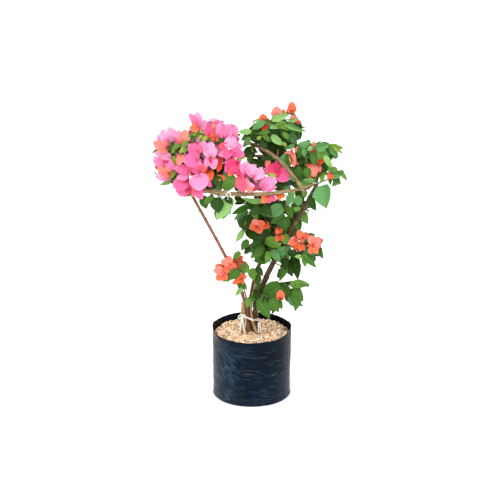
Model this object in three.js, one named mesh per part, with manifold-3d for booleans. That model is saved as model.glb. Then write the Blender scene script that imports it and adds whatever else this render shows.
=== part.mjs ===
// A bougainvillea bush in a black nursery bag, its long canes bent into a hoop that carries the blossom.
// Millimetres, +Z up, the front towards -Y. The origin is the middle of the bag's flat underside.

import * as THREE from "three";
import { mergeVertices } from "three/addons/utils/BufferGeometryUtils.js";
import Module from "manifold-3d";

const wasm = await Module();
wasm.setup();

const { lerp, clamp, degToRad } = THREE.MathUtils;
const vec = (x, y, z) => new THREE.Vector3(x, y, z);
const UP = vec(0, 0, 1);
const ACROSS = vec(1, 0, 0);
const FULL_TURN = 2 * Math.PI;

// Room between pieces that touch on the real plant
const GAP = 0.3;

const BAG = { topRadius: 110, footRadius: 106, height: 200, wall: 1.6, floor: 2, corner: 6, sides: 40 };
const MIX = { top: 186, flatRadius: 60, edgeDrop: 5 };
const GROUND = MIX.top + GAP;

// The hoop is a level oval, turned a little so that its left end comes forward. Its lengths meet at these
// angles round it, and the joint is half the room that they keep there.
const HOOP = {
  halfWidth: 205, halfDepth: 145, height: 665, turn: degToRad(5), thick: 6.2, tied: 5.9, thin: 4,
  leftEnd: 201, tie: 249, rightEnd: 323, backLeft: 112, backEnd: 38, joint: 0.06,
};

// Leaves and blooms in shares of their own length, but for the keel, foot and thickness
const LEAF = { widest: 0.42, width: 0.76, droop: 0.07, keel: 1.1, foot: 0.35 };
const BLOOM = { open: degToRad(54), widest: 0.56, width: 0.84, valley: 0.16, thickness: 1.3 };

// A mass's stem ends a little past its middle, and its twigs leave the stretch between two stations of it
const STEM = {
  foot: 2.1, tip: 1.6, sides: 5, steps: 3, bow: 0.4, past: 0.2,
  firstTwig: 0.25, middleTwig: 0.65, onward: 0.35, lastTwig: 0.97,
};
const TWIG = {
  foot: 1.2, tip: 1, least: 0.3, stray: 0.4, lift: 0.3,
  internode: 17, bare: 6, mostLeaves: 4, leavesUnderBloom: 1,
};
// How far a twig's last leaf or bloom hangs past its tip, and how leaves and blooms lean
const PAST_TIP = { leaf: 0.45, bloom: 0.4 };
const LEAF_LEAN = { along: 0.45, aside: 0.9, down: 0.3, upward: 0.4 };
const BLOOM_LEAN = 0.1;
const LEAF_SIZE = { least: 0.9, spread: 0.25 };

const COLOURS = {
  bag: { color: 0x151b26, roughness: 0.35 },
  mix: { color: 0xcfa873, roughness: 0.95 },
  bark: { color: 0x7b654c, roughness: 0.9 },
  darkBark: { color: 0x4b3826, roughness: 0.9 },
  twine: { color: 0xe8e4da, roughness: 0.8 },
  leaves: { color: 0x3f7a2e, roughness: 0.6 },
  pink: { color: 0xf472ad, roughness: 0.7 },
  coral: { color: 0xf4694f, roughness: 0.7 },
};

// Numbers from 0 to 1 in an order that the seed fixes
function seeded(seed) {
  let state = seed >>> 0;
  return () => {
    state = (state + 0x6d2b79f5) >>> 0;
    let t = Math.imul(state ^ (state >>> 15), state | 1);
    t ^= t + Math.imul(t ^ (t >>> 7), t | 61);
    return ((t ^ (t >>> 14)) >>> 0) / 2 ** 32;
  };
}

// Meshes and solids

const SAME_POINT = 1e-4;

function geometryFrom(points, faces) {
  const geometry = new THREE.BufferGeometry();
  const flat = points.flatMap((point) => point.toArray());
  geometry.setAttribute("position", new THREE.Float32BufferAttribute(flat, 3));
  return geometry.setIndex(faces.flat());
}

function solidFrom(geometry) {
  const bare = geometry.clone();
  bare.deleteAttribute("normal");
  bare.deleteAttribute("uv");
  const merged = mergeVertices(bare, SAME_POINT);
  return new wasm.Manifold(
    new wasm.Mesh({
      numProp: 3,
      vertProperties: new Float32Array(merged.attributes.position.array),
      triVerts: new Uint32Array(merged.index.array),
    }),
  );
}

function geometryOf(solid) {
  const { vertProperties, triVerts } = solid.getMesh();
  const geometry = new THREE.BufferGeometry();
  geometry.setAttribute("position", new THREE.Float32BufferAttribute(vertProperties, 3));
  return geometry.setIndex([...triVerts]);
}

// A direction turned until it is square to another
const squared = (way, axis) => way.clone().addScaledVector(axis, -way.dot(axis)).normalize();

const UPRIGHT = 0.9;
const anySquare = (axis) => squared(Math.abs(axis.z) < UPRIGHT ? UP : ACROSS, axis);

// A closed tube of flat-sided rings along a curve, or round it where the curve is a loop
function tube(curve, radiusAt, sides, steps, loop = false) {
  const frames = curve.computeFrenetFrames(steps, loop);
  const rings = loop ? steps : steps + 1;
  const points = [];
  for (let i = 0; i < rings; i++) {
    for (let k = 0; k < sides; k++) {
      const angle = (FULL_TURN * k) / sides;
      const out = frames.normals[i].clone().multiplyScalar(Math.cos(angle));
      out.addScaledVector(frames.binormals[i], Math.sin(angle));
      points.push(curve.getPointAt(i / steps).addScaledVector(out, radiusAt(i / steps)));
    }
  }
  const faces = [];
  for (let i = 0; i < steps; i++) {
    const [ring, nextRing] = [i * sides, ((i + 1) % rings) * sides];
    for (let k = 0; k < sides; k++) {
      const next = (k + 1) % sides;
      faces.push([ring + k, ring + next, nextRing + next], [ring + k, nextRing + next, nextRing + k]);
    }
  }
  const last = steps * sides;
  for (let k = 1; k < sides - 1 && !loop; k++) {
    faces.push([0, k + 1, k], [last, last + k, last + k + 1]);
  }
  return geometryFrom(points, faces);
}

const TRIANGLE = [[0.87, 0.5], [0, -1], [-0.87, 0.5]];

// A three-sided section round a centre, its corners in order round the heading
function section(centre, heading, face, radius) {
  const side = heading.clone().cross(face);
  return TRIANGLE.map(([across, lift]) => {
    return centre.clone().addScaledVector(side, across * radius).addScaledVector(face, lift * radius);
  });
}

// A closed solid through three-sided sections, and on to a point where it has one
function loft(sections, tip) {
  const points = sections.flat();
  const faces = [[0, 2, 1]];
  const last = points.length - 3;
  for (let ring = 0; ring < last; ring += 3) {
    for (const [k, next] of [[0, 1], [1, 2], [2, 0]]) {
      faces.push([ring + k, ring + next, ring + 3 + next], [ring + k, ring + 3 + next, ring + 3 + k]);
    }
  }
  if (!tip) return geometryFrom(points, [...faces, [last, last + 1, last + 2]]);
  const fan = [[0, 1], [1, 2], [2, 0]].map(([k, next]) => [last + k, last + next, points.length]);
  return geometryFrom([...points, tip], [...faces, ...fan]);
}

// A leaf is a thin blade with a keel. Its sheets are what has to fit in the mass's space.
function leafShape({ foot, heading, face, length }) {
  const side = heading.clone().cross(face);
  const middle = foot.clone().addScaledVector(heading, LEAF.widest * length);
  const half = (LEAF.width * length) / 2;
  const widest = [
    middle.clone().addScaledVector(side, half),
    middle.clone().addScaledVector(face, -LEAF.keel),
    middle.clone().addScaledVector(side, -half),
  ];
  const tip = foot.clone().addScaledVector(heading, length).addScaledVector(face, -LEAF.droop * length);
  const sheets = [[foot, widest[0], widest[2]], [tip, widest[0], widest[2]]];
  return { foot, heading, face, widest, tip, sheets };
}

// A bloom is three bracts open round an axis, in one piece that stands on the tip of its twig
function bloomShape({ foot, heading, length, turn }) {
  const across = anySquare(heading).applyAxisAngle(heading, turn);
  const [rise, run] = [Math.cos(BLOOM.open), Math.sin(BLOOM.open)];
  const at = (angle, along, aside) => {
    const out = across.clone().applyAxisAngle(heading, angle);
    const side = heading.clone().cross(out);
    const point = foot.clone().addScaledVector(heading, along * length * rise);
    return point.addScaledVector(out, along * length * run).addScaledVector(side, aside * length);
  };
  const rim = [0, 1, 2].flatMap((i) => {
    const angle = (i * FULL_TURN) / 3;
    const half = BLOOM.width / 2;
    return [
      at(angle, BLOOM.widest, -half),
      at(angle, 1, 0),
      at(angle, BLOOM.widest, half),
      at(angle + FULL_TURN / 6, BLOOM.valley, 0),
    ];
  });
  const top = foot.clone().addScaledVector(heading, BLOOM.thickness);
  const under = foot.clone().addScaledVector(heading, -BLOOM.thickness);
  const faces = rim.flatMap((_, i) => {
    const next = (i + 1) % rim.length;
    return [[i, next, rim.length], [next, i, rim.length + 1]];
  });
  const sheets = rim.map((corner, i) => [foot, corner, rim[(i + 1) % rim.length]]);
  return { foot, geometry: geometryFrom([...rim, top, under], faces), sheets };
}

// Limbs: each is a curve from its foot to its tip, with a radius all along it

class HoopArc extends THREE.Curve {
  constructor(from, to) {
    super();
    Object.assign(this, { from, to });
  }
  getPoint(t, target = vec()) {
    const angle = degToRad(lerp(this.from, this.to, t));
    target.set(HOOP.halfWidth * Math.cos(angle), HOOP.halfDepth * Math.sin(angle), 0);
    return target.applyAxisAngle(UP, HOOP.turn).setZ(HOOP.height);
  }
}

const bend = (...points) => new THREE.CubicBezierCurve3(...points.map((p) => vec(...p)));
const hoopPoint = (angle, ...shift) => new HoopArc(angle, angle).getPoint(0).add(vec(...shift)).toArray();

// The share of a cane over which its root flare dies away
const FLARE_SHARE = 0.035;
// How far a shoot runs straight out of its host
const SHOOT_BOW = 0.2;
const limbs = new Map();

function limb(name, colour, curve, [footRadius, tipRadius], options) {
  const { sides, steps, flare, openTip } = { sides: 7, steps: 8, flare: 0, openTip: true, ...options };
  const radiusAt = (t) => lerp(footRadius, tipRadius, t) + flare * Math.exp(-t / FLARE_SHARE);
  limbs.set(name, { curve, radiusAt, sides, steps, colour, openTip });
}

// A shoot leaves the side of its host, or its tip, square to it
function shoot(name, [hostName, t], through, tip, radii, options) {
  const host = limbs.get(hostName);
  const start = host.curve.getPointAt(t);
  const along = host.curve.getTangentAt(t);
  const out = t === 1 ? along : squared(vec(...through).sub(start), along);
  start.addScaledVector(out, (t === 1 ? 0 : host.radiusAt(t)) + GAP);
  const handle = start.clone().addScaledVector(out, SHOOT_BOW * start.distanceTo(vec(...tip)));
  const curve = bend(start.toArray(), handle.toArray(), through, tip);
  limb(name, "bark", curve, radii, { sides: 5, steps: 6, ...options });
}

// Canes that stand on the growing mix start below its top and are trimmed level with it
const TRIMMED = 6;
const BELOW = GROUND - TRIMMED;
limb("right_cane", "darkBark",
  bend([12, 4, BELOW], [-9, 2, 300], [72, -18, 425], hoopPoint(323, 10, -5, 1)),
  [8.8, 5.4], { sides: 8, steps: 16, flare: 5 });
limb("middle_cane", "darkBark",
  bend([-10, 14, BELOW], [-6, 12, 420], [60, 16, 430], [101, 24, 591]),
  [6.8, 3.4], { steps: 12, flare: 2.5 });
limb("left_cane", "bark",
  bend([-12, -3, BELOW], [-2, 0, 290], [-60, -22, 400], hoopPoint(205, 1, -1, -8.9)),
  [4.9, 4], { steps: 9, flare: 1.5 });
limb("cut_stub", "bark",
  bend([-26, -18, BELOW], [-26, -18, 220], [-25, -18, 250], [-25, -18, 285]),
  [5.6, 5.4], { sides: 8, steps: 2 });
limb("crossing_shoot", "bark",
  bend([19, -24, BELOW], [-22, -22, 268], [8, -18, 300], [9, -14, 352]),
  [3.9, 2.6], { sides: 6, flare: 1 });

const { leftEnd, tie, rightEnd, backLeft, backEnd, joint, thick, tied, thin } = HOOP;
limb("hoop_front_left", "bark", new HoopArc(leftEnd, tie - joint),
  [thick, tied], { steps: 6, openTip: false });
limb("hoop_front_right", "bark", new HoopArc(tie + joint, rightEnd),
  [tied, thin], { steps: 12, openTip: false });
limb("hoop_left", "bark", new HoopArc(leftEnd - 2 * joint, backLeft + joint),
  [thick, 4.6], { openTip: false });
limb("hoop_back", "bark", new HoopArc(backLeft - joint, backEnd),
  [4.6, 3.4], { steps: 12 });
limb("arch_cane", "bark",
  bend([146, -117.7, 660], [112, -94, 712], [60, 10, 738], [-11, 85, 728]),
  [5.2, 5], { steps: 12 });

shoot("lower_left_shoot", ["middle_cane", 0.22], [-16, -18, 322], [-36, -31, 364], [3, 2]);
shoot("lower_right_shoot", ["right_cane", 0.3], [64, -28, 357], [86, -34, 347], [2.2, 1.4]);
shoot("top_shoot", ["arch_cane", 0.82], [50, 88, 778], [82, 77, 806], [2.6, 1.6], { steps: 10 });
shoot("blossom_shoot", ["hoop_front_left", 0.06], [-178, -55, 740], [-163, -40, 792],
  [2.8, 1.6], { steps: 9 });
shoot("right_tip_shoot", ["right_cane", 1], [208, -68, 678], [226, -63, 680], [2.6, 1.6], { steps: 4 });
shoot("curled_shoot", ["right_cane", 0.97], [192, -20, 716], [146, -8, 700],
  [1.9, 1.3], { sides: 6, steps: 12 });

// Twine is tied taut round the foot of the canes, and round the front of the hoop where its lengths meet
const TWINE = { radius: 1.1, slack: 1.1, sides: 4 };
const BASE_TIE = {
  middle: vec(-4, -4, 237), axis: vec(0.45, 0.05, 0.9).normalize(), points: 20, steps: 26,
};
const HOOP_TIE = { at: 0.96, points: 10, steps: 12 };
const BASE_TIE_HOLDS = ["right_cane", "middle_cane", "left_cane", "cut_stub", "crossing_shoot"];

const FINE_STATIONS = 200;

// The outline of a taut loop round the limbs, in the plane through its middle
function tautLoop({ middle, axis, points }, names) {
  const discs = names.map((name) => {
    const { curve, radiusAt } = limbs.get(name);
    const stations = Array.from({ length: FINE_STATIONS + 1 }, (_, i) => i / FINE_STATIONS);
    const offPlane = (t) => Math.abs(curve.getPointAt(t).sub(middle).dot(axis));
    const t = stations.reduce((best, next) => (offPlane(next) < offPlane(best) ? next : best));
    return { at: curve.getPointAt(t), radius: radiusAt(t) / axis.z + TWINE.slack + TWINE.radius };
  });
  const across = squared(ACROSS, axis);
  const outline = Array.from({ length: points }, (_, i) => {
    const out = across.clone().applyAxisAngle(axis, (FULL_TURN * i) / points);
    const reach = ({ at, radius }) => at.clone().sub(middle).dot(out) + radius;
    const disc = discs.reduce((best, next) => (reach(next) > reach(best) ? next : best));
    return disc.at.clone().addScaledVector(out, disc.radius);
  });
  return new THREE.CatmullRomCurve3(outline, true);
}

function ringRound({ curve, radiusAt }, t) {
  const axis = curve.getTangentAt(t);
  const radius = radiusAt(t) + TWINE.slack + TWINE.radius;
  const across = anySquare(axis);
  const outline = Array.from({ length: HOOP_TIE.points }, (_, i) => {
    const out = across.clone().applyAxisAngle(axis, (FULL_TURN * i) / HOOP_TIE.points);
    return curve.getPointAt(t).addScaledVector(out, radius);
  });
  return new THREE.CatmullRomCurve3(outline, true);
}

// Masses: name, centre, half sizes, twigs, leaf length, share of twigs in blossom, bract length, colour
const MASSES = [
  ["blossom_left", [-214, -34, 730], [56, 52, 74], 12, 46, 1, 56, "pink"],
  ["blossom_middle", [-155, -58, 762], [60, 66, 84], 15, 46, 1, 56, "pink"],
  ["blossom_right", [-82, -28, 768], [58, 60, 58], 9, 46, 1, 54, "pink"],
  ["blossom_low", [-176, -130, 678], [50, 36, 38], 7, 44, 1, 50, "pink"],
  ["blossom_fold", [-92, -76, 706], [46, 42, 42], 7, 46, 0.8, 48, "pink"],
  ["blossom_trail", [0, -98, 702], [74, 42, 44], 10, 44, 1, 48, "pink"],
  ["blossom_back", [-100, 85, 740], [60, 56, 56], 7, 50, 0.8, 50, "pink"],
  ["top_leaves", [62, 80, 764], [90, 60, 58], 15, 62, 0, 0, "leaves"],
  ["top_blossom", [98, 66, 822], [46, 38, 34], 6, 40, 1, 34, "coral"],
  ["heart_leaves", [42, 60, 697], [68, 56, 42], 8, 60, 0, 0, "leaves"],
  ["middle_blossom", [72, -4, 674], [42, 38, 38], 6, 44, 1, 42, "coral"],
  ["right_leaves", [176, 14, 718], [84, 68, 54], 15, 58, 0.12, 38, "leaves"],
  ["right_tip_leaves", [240, -58, 688], [46, 40, 40], 6, 52, 0, 0, "leaves"],
  ["right_hanging_leaves", [200, -76, 632], [36, 32, 44], 4, 64, 0, 0, "leaves"],
  ["under_hoop_right", [112, -60, 612], [52, 42, 42], 8, 58, 0, 0, "leaves"],
  ["under_hoop_middle", [34, -90, 612], [52, 42, 40], 8, 58, 0.2, 42, "leaves"],
  ["under_hoop_left", [-86, -106, 624], [66, 40, 48], 8, 60, 0, 0, "leaves"],
  ["centre_leaves", [46, -10, 530], [94, 56, 60], 15, 62, 0.08, 42, "leaves"],
  ["centre_leaves_low", [62, -18, 446], [84, 48, 50], 13, 62, 0, 0, "leaves"],
  ["right_blossom", [150, -40, 460], [52, 44, 46], 10, 50, 0.6, 36, "coral"],
  ["middle_cane_leaves", [108, 34, 622], [42, 40, 42], 6, 56, 0, 0, "leaves"],
  ["right_cane_leaves", [154, -18, 556], [38, 40, 44], 6, 56, 0, 0, "leaves"],
  ["low_hanging_leaves", [98, -24, 390], [42, 38, 42], 7, 58, 0, 0, "leaves"],
  ["lower_left_blossom", [-56, -38, 392], [48, 42, 42], 9, 48, 0.7, 40, "coral"],
  ["lower_middle_leaves", [8, -22, 366], [32, 32, 46], 6, 50, 0, 0, "leaves"],
  ["foot_leaves_front", [2, -46, 302], [28, 28, 32], 3, 44, 0, 0, "leaves"],
  ["foot_leaves_rear", [22, 44, 322], [34, 30, 50], 4, 54, 0, 0, "leaves"],
  ["lower_right_leaves", [52, -48, 308], [48, 42, 46], 9, 66, 0, 0, "leaves"],
  ["lower_right_tip_leaves", [120, -40, 324], [48, 42, 46], 9, 66, 0.15, 38, "leaves"],
  ["rear_leaves_top", [62, 148, 664], [64, 46, 54], 8, 60, 0.1, 40, "leaves"],
  ["rear_leaves_right", [156, 112, 640], [54, 48, 50], 8, 58, 0.1, 40, "leaves"],
  ["rear_leaves_low", [82, 58, 508], [58, 46, 66], 8, 62, 0, 0, "leaves"],
].map(([name, centre, half, twigs, leaf, blossom, bract, colour], i) => ({
  name, centre: vec(...centre), half: vec(...half), twigs, leaf, blossom, bract, colour, seed: 101 + 37 * i,
}));

// The growing rule

const GOLDEN_ANGLE = Math.PI * (3 - Math.sqrt(5));
const SIZES = [1, 0.87, 0.75];
const TURNS = 8;
// Room that a leaf keeps to its space's walls, to the limbs and to the other leaves
const ROOM = { wall: 0.25, limb: 1, leaf: 3, foot: 14 };
const OVERHANG = 1.2;
const SAMPLE_STEP = 5;
const STATIONS = 40;
const TWIG_STATIONS = 10;

// Short lengths of every limb and stem, with their radii, which leaves and twigs keep clear of
const lengths = [];
function addLengths(owner, curve, radiusAt) {
  for (let i = 0; i < STATIONS; i++) {
    const line = new THREE.Line3(curve.getPointAt(i / STATIONS), curve.getPointAt((i + 1) / STATIONS));
    lengths.push({ owner, line, radius: radiusAt(i / STATIONS) });
  }
}

// A stem leaves the limb point nearest to its mass: square to the limb, or straight on from an open tip
function stemOf(mass) {
  let near = { distance: Infinity };
  for (const host of limbs.values()) {
    for (let i = 1; i <= STATIONS - (host.openTip ? 0 : 1); i++) {
      const distance = host.curve.getPointAt(i / STATIONS).distanceTo(mass.centre);
      if (distance < near.distance) near = { limb: host, distance, t: i / STATIONS };
    }
  }
  const start = near.limb.curve.getPointAt(near.t);
  const along = near.limb.curve.getTangentAt(near.t);
  const atTip = near.t === 1;
  if (atTip) near.limb.openTip = false;
  const out = atTip ? along : squared(mass.centre.clone().sub(start), along);
  start.addScaledVector(out, (atTip ? 0 : near.limb.radiusAt(near.t)) + GAP);
  const way = mass.centre.clone().sub(start);
  const handle = start.clone().addScaledVector(out, STEM.bow * way.length());
  const end = mass.centre.clone().addScaledVector(way.normalize(), STEM.past * mass.half.z);
  return new THREE.QuadraticBezierCurve3(start, handle, end);
}

const stemRadius = (t) => lerp(STEM.foot, STEM.tip, t);

// How far a mass's oval reaches in a direction
const extent = (mass, way) => 1 / way.clone().divide(mass.half).length();

// Flat walls part each mass from the others, nearer to the smaller one
function wallsOf(mass) {
  const walls = MASSES.filter((other) => other !== mass).map((other) => {
    const normal = other.centre.clone().sub(mass.centre);
    const apart = normal.length();
    normal.normalize();
    const [own, theirs] = [extent(mass, normal), extent(other, normal)];
    return { normal, distance: (apart + (own * own - theirs * theirs) / apart) / 2 };
  });
  return walls.filter(({ normal, distance }) => distance < extent(mass, normal) * OVERHANG);
}

function inSpace(mass, point, room, overhang = 1) {
  const from = point.clone().sub(mass.centre);
  if (from.clone().divide(mass.half).length() > overhang) return false;
  return mass.walls.every(({ normal, distance }) => from.dot(normal) < distance - room);
}

const nearest = vec();
function clearOfLimbs(mass, point, room) {
  return mass.near.every(({ line, radius }) => {
    line.closestPointToPoint(point, true, nearest);
    return nearest.distanceTo(point) > radius + room;
  });
}

// Points spread over flat sheets
function spreadPoints(sheets) {
  return sheets.flatMap(([a, b, c]) => {
    const count = Math.ceil(Math.max(a.distanceTo(b), b.distanceTo(c), c.distanceTo(a)) / SAMPLE_STEP);
    const spread = [];
    for (let i = 0; i <= count; i++) {
      for (let j = 0; j <= count - i; j++) {
        const point = a.clone().multiplyScalar(i / count).addScaledVector(b, j / count);
        spread.push(point.addScaledVector(c, 1 - (i + j) / count));
      }
    }
    return spread;
  });
}

// The first of several turned shapes that fits in the mass's space, at the largest size that one does
function fitted(mass, shapeAt) {
  for (const size of SIZES) {
    for (let turn = 0; turn < TURNS; turn++) {
      const shape = shapeAt(turn, size);
      const spread = spreadPoints(shape.sheets);
      const fits = (p) => inSpace(mass, p, ROOM.wall, OVERHANG) && clearOfLimbs(mass, p, ROOM.limb);
      if (!spread.every(fits)) continue;
      const outer = spread.filter((p) => p.distanceTo(shape.foot) > ROOM.foot);
      if (outer.some((p) => mass.taken.some((other) => other.distanceTo(p) < ROOM.leaf))) continue;
      mass.taken.push(...outer);
      return shape;
    }
  }
  return null;
}

// A twig from the mass's stem towards its oval, with a bloom or a leaf at its tip and leaves beside it
function growTwig(mass, { way, blooms, spin, sizes }) {
  const station = STEM.middleTwig + STEM.onward * way.dot(mass.stem.getTangentAt(1));
  const foot = mass.stem.getPointAt(clamp(station, STEM.firstTwig, STEM.lastTwig));
  const reach = extent(mass, way);
  const pastTip = blooms ? PAST_TIP.bloom * mass.bract : PAST_TIP.leaf * mass.leaf;
  const end = mass.centre.clone().addScaledVector(way, Math.max(TWIG.least * reach, reach - pastTip));
  const line = new THREE.LineCurve3(foot, end);
  const free = line.getPoints(TWIG_STATIONS).slice(1).every((point) => {
    return inSpace(mass, point, ROOM.wall + TWIG.foot) && clearOfLimbs(mass, point, ROOM.limb + TWIG.foot);
  });
  if (!free) return [];

  const along = end.clone().sub(foot).normalize();
  const outward = way.clone().addScaledVector(UP, TWIG.lift).normalize();
  const leafAt = (j) => fitted(mass, (turn, size) => {
    const side = anySquare(along).applyAxisAngle(along, spin + (j + turn) * GOLDEN_ANGLE);
    const heading = along.clone().multiplyScalar(LEAF_LEAN.along).addScaledVector(side, LEAF_LEAN.aside);
    heading.addScaledVector(UP, -LEAF_LEAN.down).normalize();
    const face = squared(outward.clone().addScaledVector(UP, LEAF_LEAN.upward), heading);
    const place = line.getPoint(1 - (j * TWIG.internode) / line.getLength());
    return leafShape({ foot: place, heading, face, length: mass.leaf * sizes[j] * size });
  });
  const bloom = blooms && fitted(mass, (turn, size) => {
    const lean = anySquare(outward).applyAxisAngle(outward, turn);
    const heading = outward.clone().applyAxisAngle(lean, BLOOM_LEAN * turn);
    return bloomShape({ foot: end, heading, length: mass.bract * size, turn: spin + turn });
  });
  const endLeaf = !bloom && leafAt(0);
  const face = endLeaf ? squared(endLeaf.face, along) : anySquare(along);
  const twig = [section(foot, along, face, TWIG.foot), section(end, along, face, TWIG.tip)];
  const grown = [endLeaf ? loft([...twig, endLeaf.widest], endLeaf.tip) : loft(twig)];
  if (bloom) grown.push(bloom.geometry);
  const most = bloom ? TWIG.leavesUnderBloom + 1 : TWIG.mostLeaves;
  const leaves = Math.min(most, Math.floor((line.getLength() - TWIG.bare) / TWIG.internode) + 1);
  for (let j = 1; j < leaves; j++) {
    const leaf = leafAt(j);
    if (!leaf) continue;
    const stalk = section(leaf.foot, leaf.heading, leaf.face, LEAF.foot);
    grown.push(loft([stalk, leaf.widest], leaf.tip));
  }
  return bloom || endLeaf || grown.length > 1 ? grown.map(solidFrom) : [];
}

function grow(mass) {
  const random = seeded(mass.seed);
  const grown = [solidFrom(tube(mass.stem, stemRadius, STEM.sides, STEM.steps))];
  const phase = FULL_TURN * random();
  for (let k = 0; k < mass.twigs; k++) {
    const height = 1 - (2 * k + 1) / mass.twigs;
    const level = Math.sqrt(1 - height * height);
    const angle = phase + k * GOLDEN_ANGLE;
    const stray = vec(random() - 0.5, random() - 0.5, random() - 0.5).multiplyScalar(TWIG.stray);
    const way = vec(level * Math.cos(angle), level * Math.sin(angle), height).add(stray).normalize();
    const blooms = random() < mass.blossom;
    const spin = FULL_TURN * random();
    const leafSize = () => LEAF_SIZE.least + LEAF_SIZE.spread * random();
    const sizes = Array.from({ length: TWIG.mostLeaves }, leafSize);
    grown.push(...growTwig(mass, { way, blooms, spin, sizes }));
  }
  const pieces = wasm.Manifold.union(grown).decompose();
  return pieces.reduce((best, next) => (next.volume() > best.volume() ? next : best));
}

// The bag and the growing mix in it

function turned(profile) {
  const outline = profile.map(([radius, height]) => new THREE.Vector2(radius, height));
  return new THREE.LatheGeometry(outline, BAG.sides).rotateX(Math.PI / 2);
}

function bagShape() {
  const { topRadius, footRadius, height, wall, floor, corner } = BAG;
  return turned([
    [0, 0],
    [footRadius - corner, 0],
    [footRadius, corner],
    [topRadius, height],
    [topRadius - wall, height],
    [footRadius - wall, corner],
    [footRadius - corner - wall, floor],
    [0, floor],
  ]);
}

function mixShape() {
  const { topRadius, footRadius, height, wall, floor, corner } = BAG;
  const shoulder = MIX.top - MIX.edgeDrop;
  const bagRadius = lerp(footRadius, topRadius, (shoulder - corner) / (height - corner));
  return turned([
    [0, floor + GAP],
    [footRadius - corner - wall - GAP, floor + GAP],
    [footRadius - wall - GAP, corner + GAP],
    [bagRadius - wall - GAP, shoulder],
    [MIX.flatRadius, MIX.top],
    [0, MIX.top],
  ]);
}

// The whole bush

const bush = new THREE.Group();

function add(name, geometry, colour) {
  const material = new THREE.MeshStandardMaterial({ ...COLOURS[colour], metalness: 0 });
  const mesh = new THREE.Mesh(geometry, material);
  mesh.name = name;
  bush.add(mesh);
}

add("nursery_bag", bagShape(), "bag");
add("growing_mix", mixShape(), "mix");

for (const [name, { curve, radiusAt, sides, steps, colour }] of limbs) {
  const solid = solidFrom(tube(curve, radiusAt, sides, steps));
  add(name, geometryOf(solid.trimByPlane(UP.toArray(), GROUND)), colour);
  addLengths(name, curve, radiusAt);
}

const ties = [
  ["base_tie", tautLoop(BASE_TIE, BASE_TIE_HOLDS), BASE_TIE.steps],
  ["hoop_tie", ringRound(limbs.get("hoop_front_left"), HOOP_TIE.at), HOOP_TIE.steps],
];
for (const [name, curve, steps] of ties) {
  add(name, tube(curve, () => TWINE.radius, TWINE.sides, steps, true), "twine");
  addLengths(name, curve, () => TWINE.radius);
}

for (const mass of MASSES) {
  mass.stem = stemOf(mass);
  addLengths(mass.name, mass.stem, stemRadius);
}
for (const mass of MASSES) {
  const reach = Math.max(...mass.half.toArray());
  mass.walls = wallsOf(mass);
  mass.near = lengths.filter(({ owner, line, radius }) => {
    line.closestPointToPoint(mass.centre, true, nearest);
    return owner !== mass.name && nearest.distanceTo(mass.centre) < reach * OVERHANG + radius + ROOM.limb;
  });
  mass.taken = [];
  add(mass.name, geometryOf(grow(mass)), mass.colour);
}

export default bush;
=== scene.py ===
import math

import bmesh
import bpy
import numpy as np
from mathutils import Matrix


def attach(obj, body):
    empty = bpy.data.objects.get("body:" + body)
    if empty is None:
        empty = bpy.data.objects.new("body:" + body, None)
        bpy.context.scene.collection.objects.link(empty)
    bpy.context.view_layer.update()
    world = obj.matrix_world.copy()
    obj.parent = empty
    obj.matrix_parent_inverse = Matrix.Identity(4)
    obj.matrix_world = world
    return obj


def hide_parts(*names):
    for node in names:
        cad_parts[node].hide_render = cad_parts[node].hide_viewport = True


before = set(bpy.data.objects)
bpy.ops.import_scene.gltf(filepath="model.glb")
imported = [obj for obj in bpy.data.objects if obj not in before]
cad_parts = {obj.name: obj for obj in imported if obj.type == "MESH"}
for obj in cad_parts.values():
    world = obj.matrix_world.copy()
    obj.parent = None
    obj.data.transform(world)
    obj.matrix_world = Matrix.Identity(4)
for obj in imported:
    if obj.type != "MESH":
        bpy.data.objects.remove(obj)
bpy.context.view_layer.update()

# A bougainvillea bush in a black nursery bag. Lengths are in millimetres until a mesh is made, +Z is up and
# the front is towards -Y.

MM = 0.001
UP = np.array([0.0, 0.0, 1.0])
ACROSS = np.array([1.0, 0.0, 0.0])
FULL_TURN = 2 * math.pi
GOLDEN_ANGLE = math.pi * (3 - math.sqrt(5))

# The view from the front that the plant is laid out for, and the ways that are up and towards the eye in it
ELEVATION = math.radians(22)
FRONT_UP = np.array([0, math.sin(ELEVATION), math.cos(ELEVATION)])
TO_FRONT = np.array([0, -math.cos(ELEVATION), math.sin(ELEVATION)])


def unit(way):
    return way / np.linalg.norm(way, axis=-1, keepdims=True)


def squared(way, axis):
    return unit(way - np.dot(way, axis) * axis)


def any_square(axis):
    return squared(UP if abs(axis[2]) < 0.9 else ACROSS, axis)


def turned(way, axis, angle):
    cos, sin = math.cos(angle), math.sin(angle)
    return way * cos + np.cross(axis, way) * sin + axis * np.dot(axis, way) * (1 - cos)


def seeded(seed):
    """Numbers from 0 to 1 in an order that the seed fixes."""
    state = seed

    def draw():
        nonlocal state
        state = (state + 0x6D2B79F5) & 0xFFFFFFFF
        t = ((state ^ (state >> 15)) * (state | 1)) & 0xFFFFFFFF
        t ^= (t + (t ^ (t >> 7)) * (t | 61)) & 0xFFFFFFFF
        return (t ^ (t >> 14)) / 4294967296

    return draw


def rough_field(u, v, around, along, seed):
    """Smooth uneven heights from -1 to 1 over u and v from 0 to 1, which close on themselves round u."""
    lattice = np.random.default_rng(seed).uniform(-1, 1, (along + 2, around))
    x, y = (u % 1) * around, np.clip(v, 0, 1) * along
    i, j = np.floor(x).astype(int), np.floor(y).astype(int)
    fx, fy = x - i, y - j
    fx, fy = fx * fx * (3 - 2 * fx), fy * fy * (3 - 2 * fy)
    i, nxt = i % around, (i + 1) % around
    low = lattice[j, i] * (1 - fx) + lattice[j, nxt] * fx
    high = lattice[j + 1, i] * (1 - fx) + lattice[j + 1, nxt] * fx
    return low * (1 - fy) + high * fy


# Finishes


BLACK, WHITE = (0, 0, 0, 1), (1, 1, 1, 1)


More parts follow.
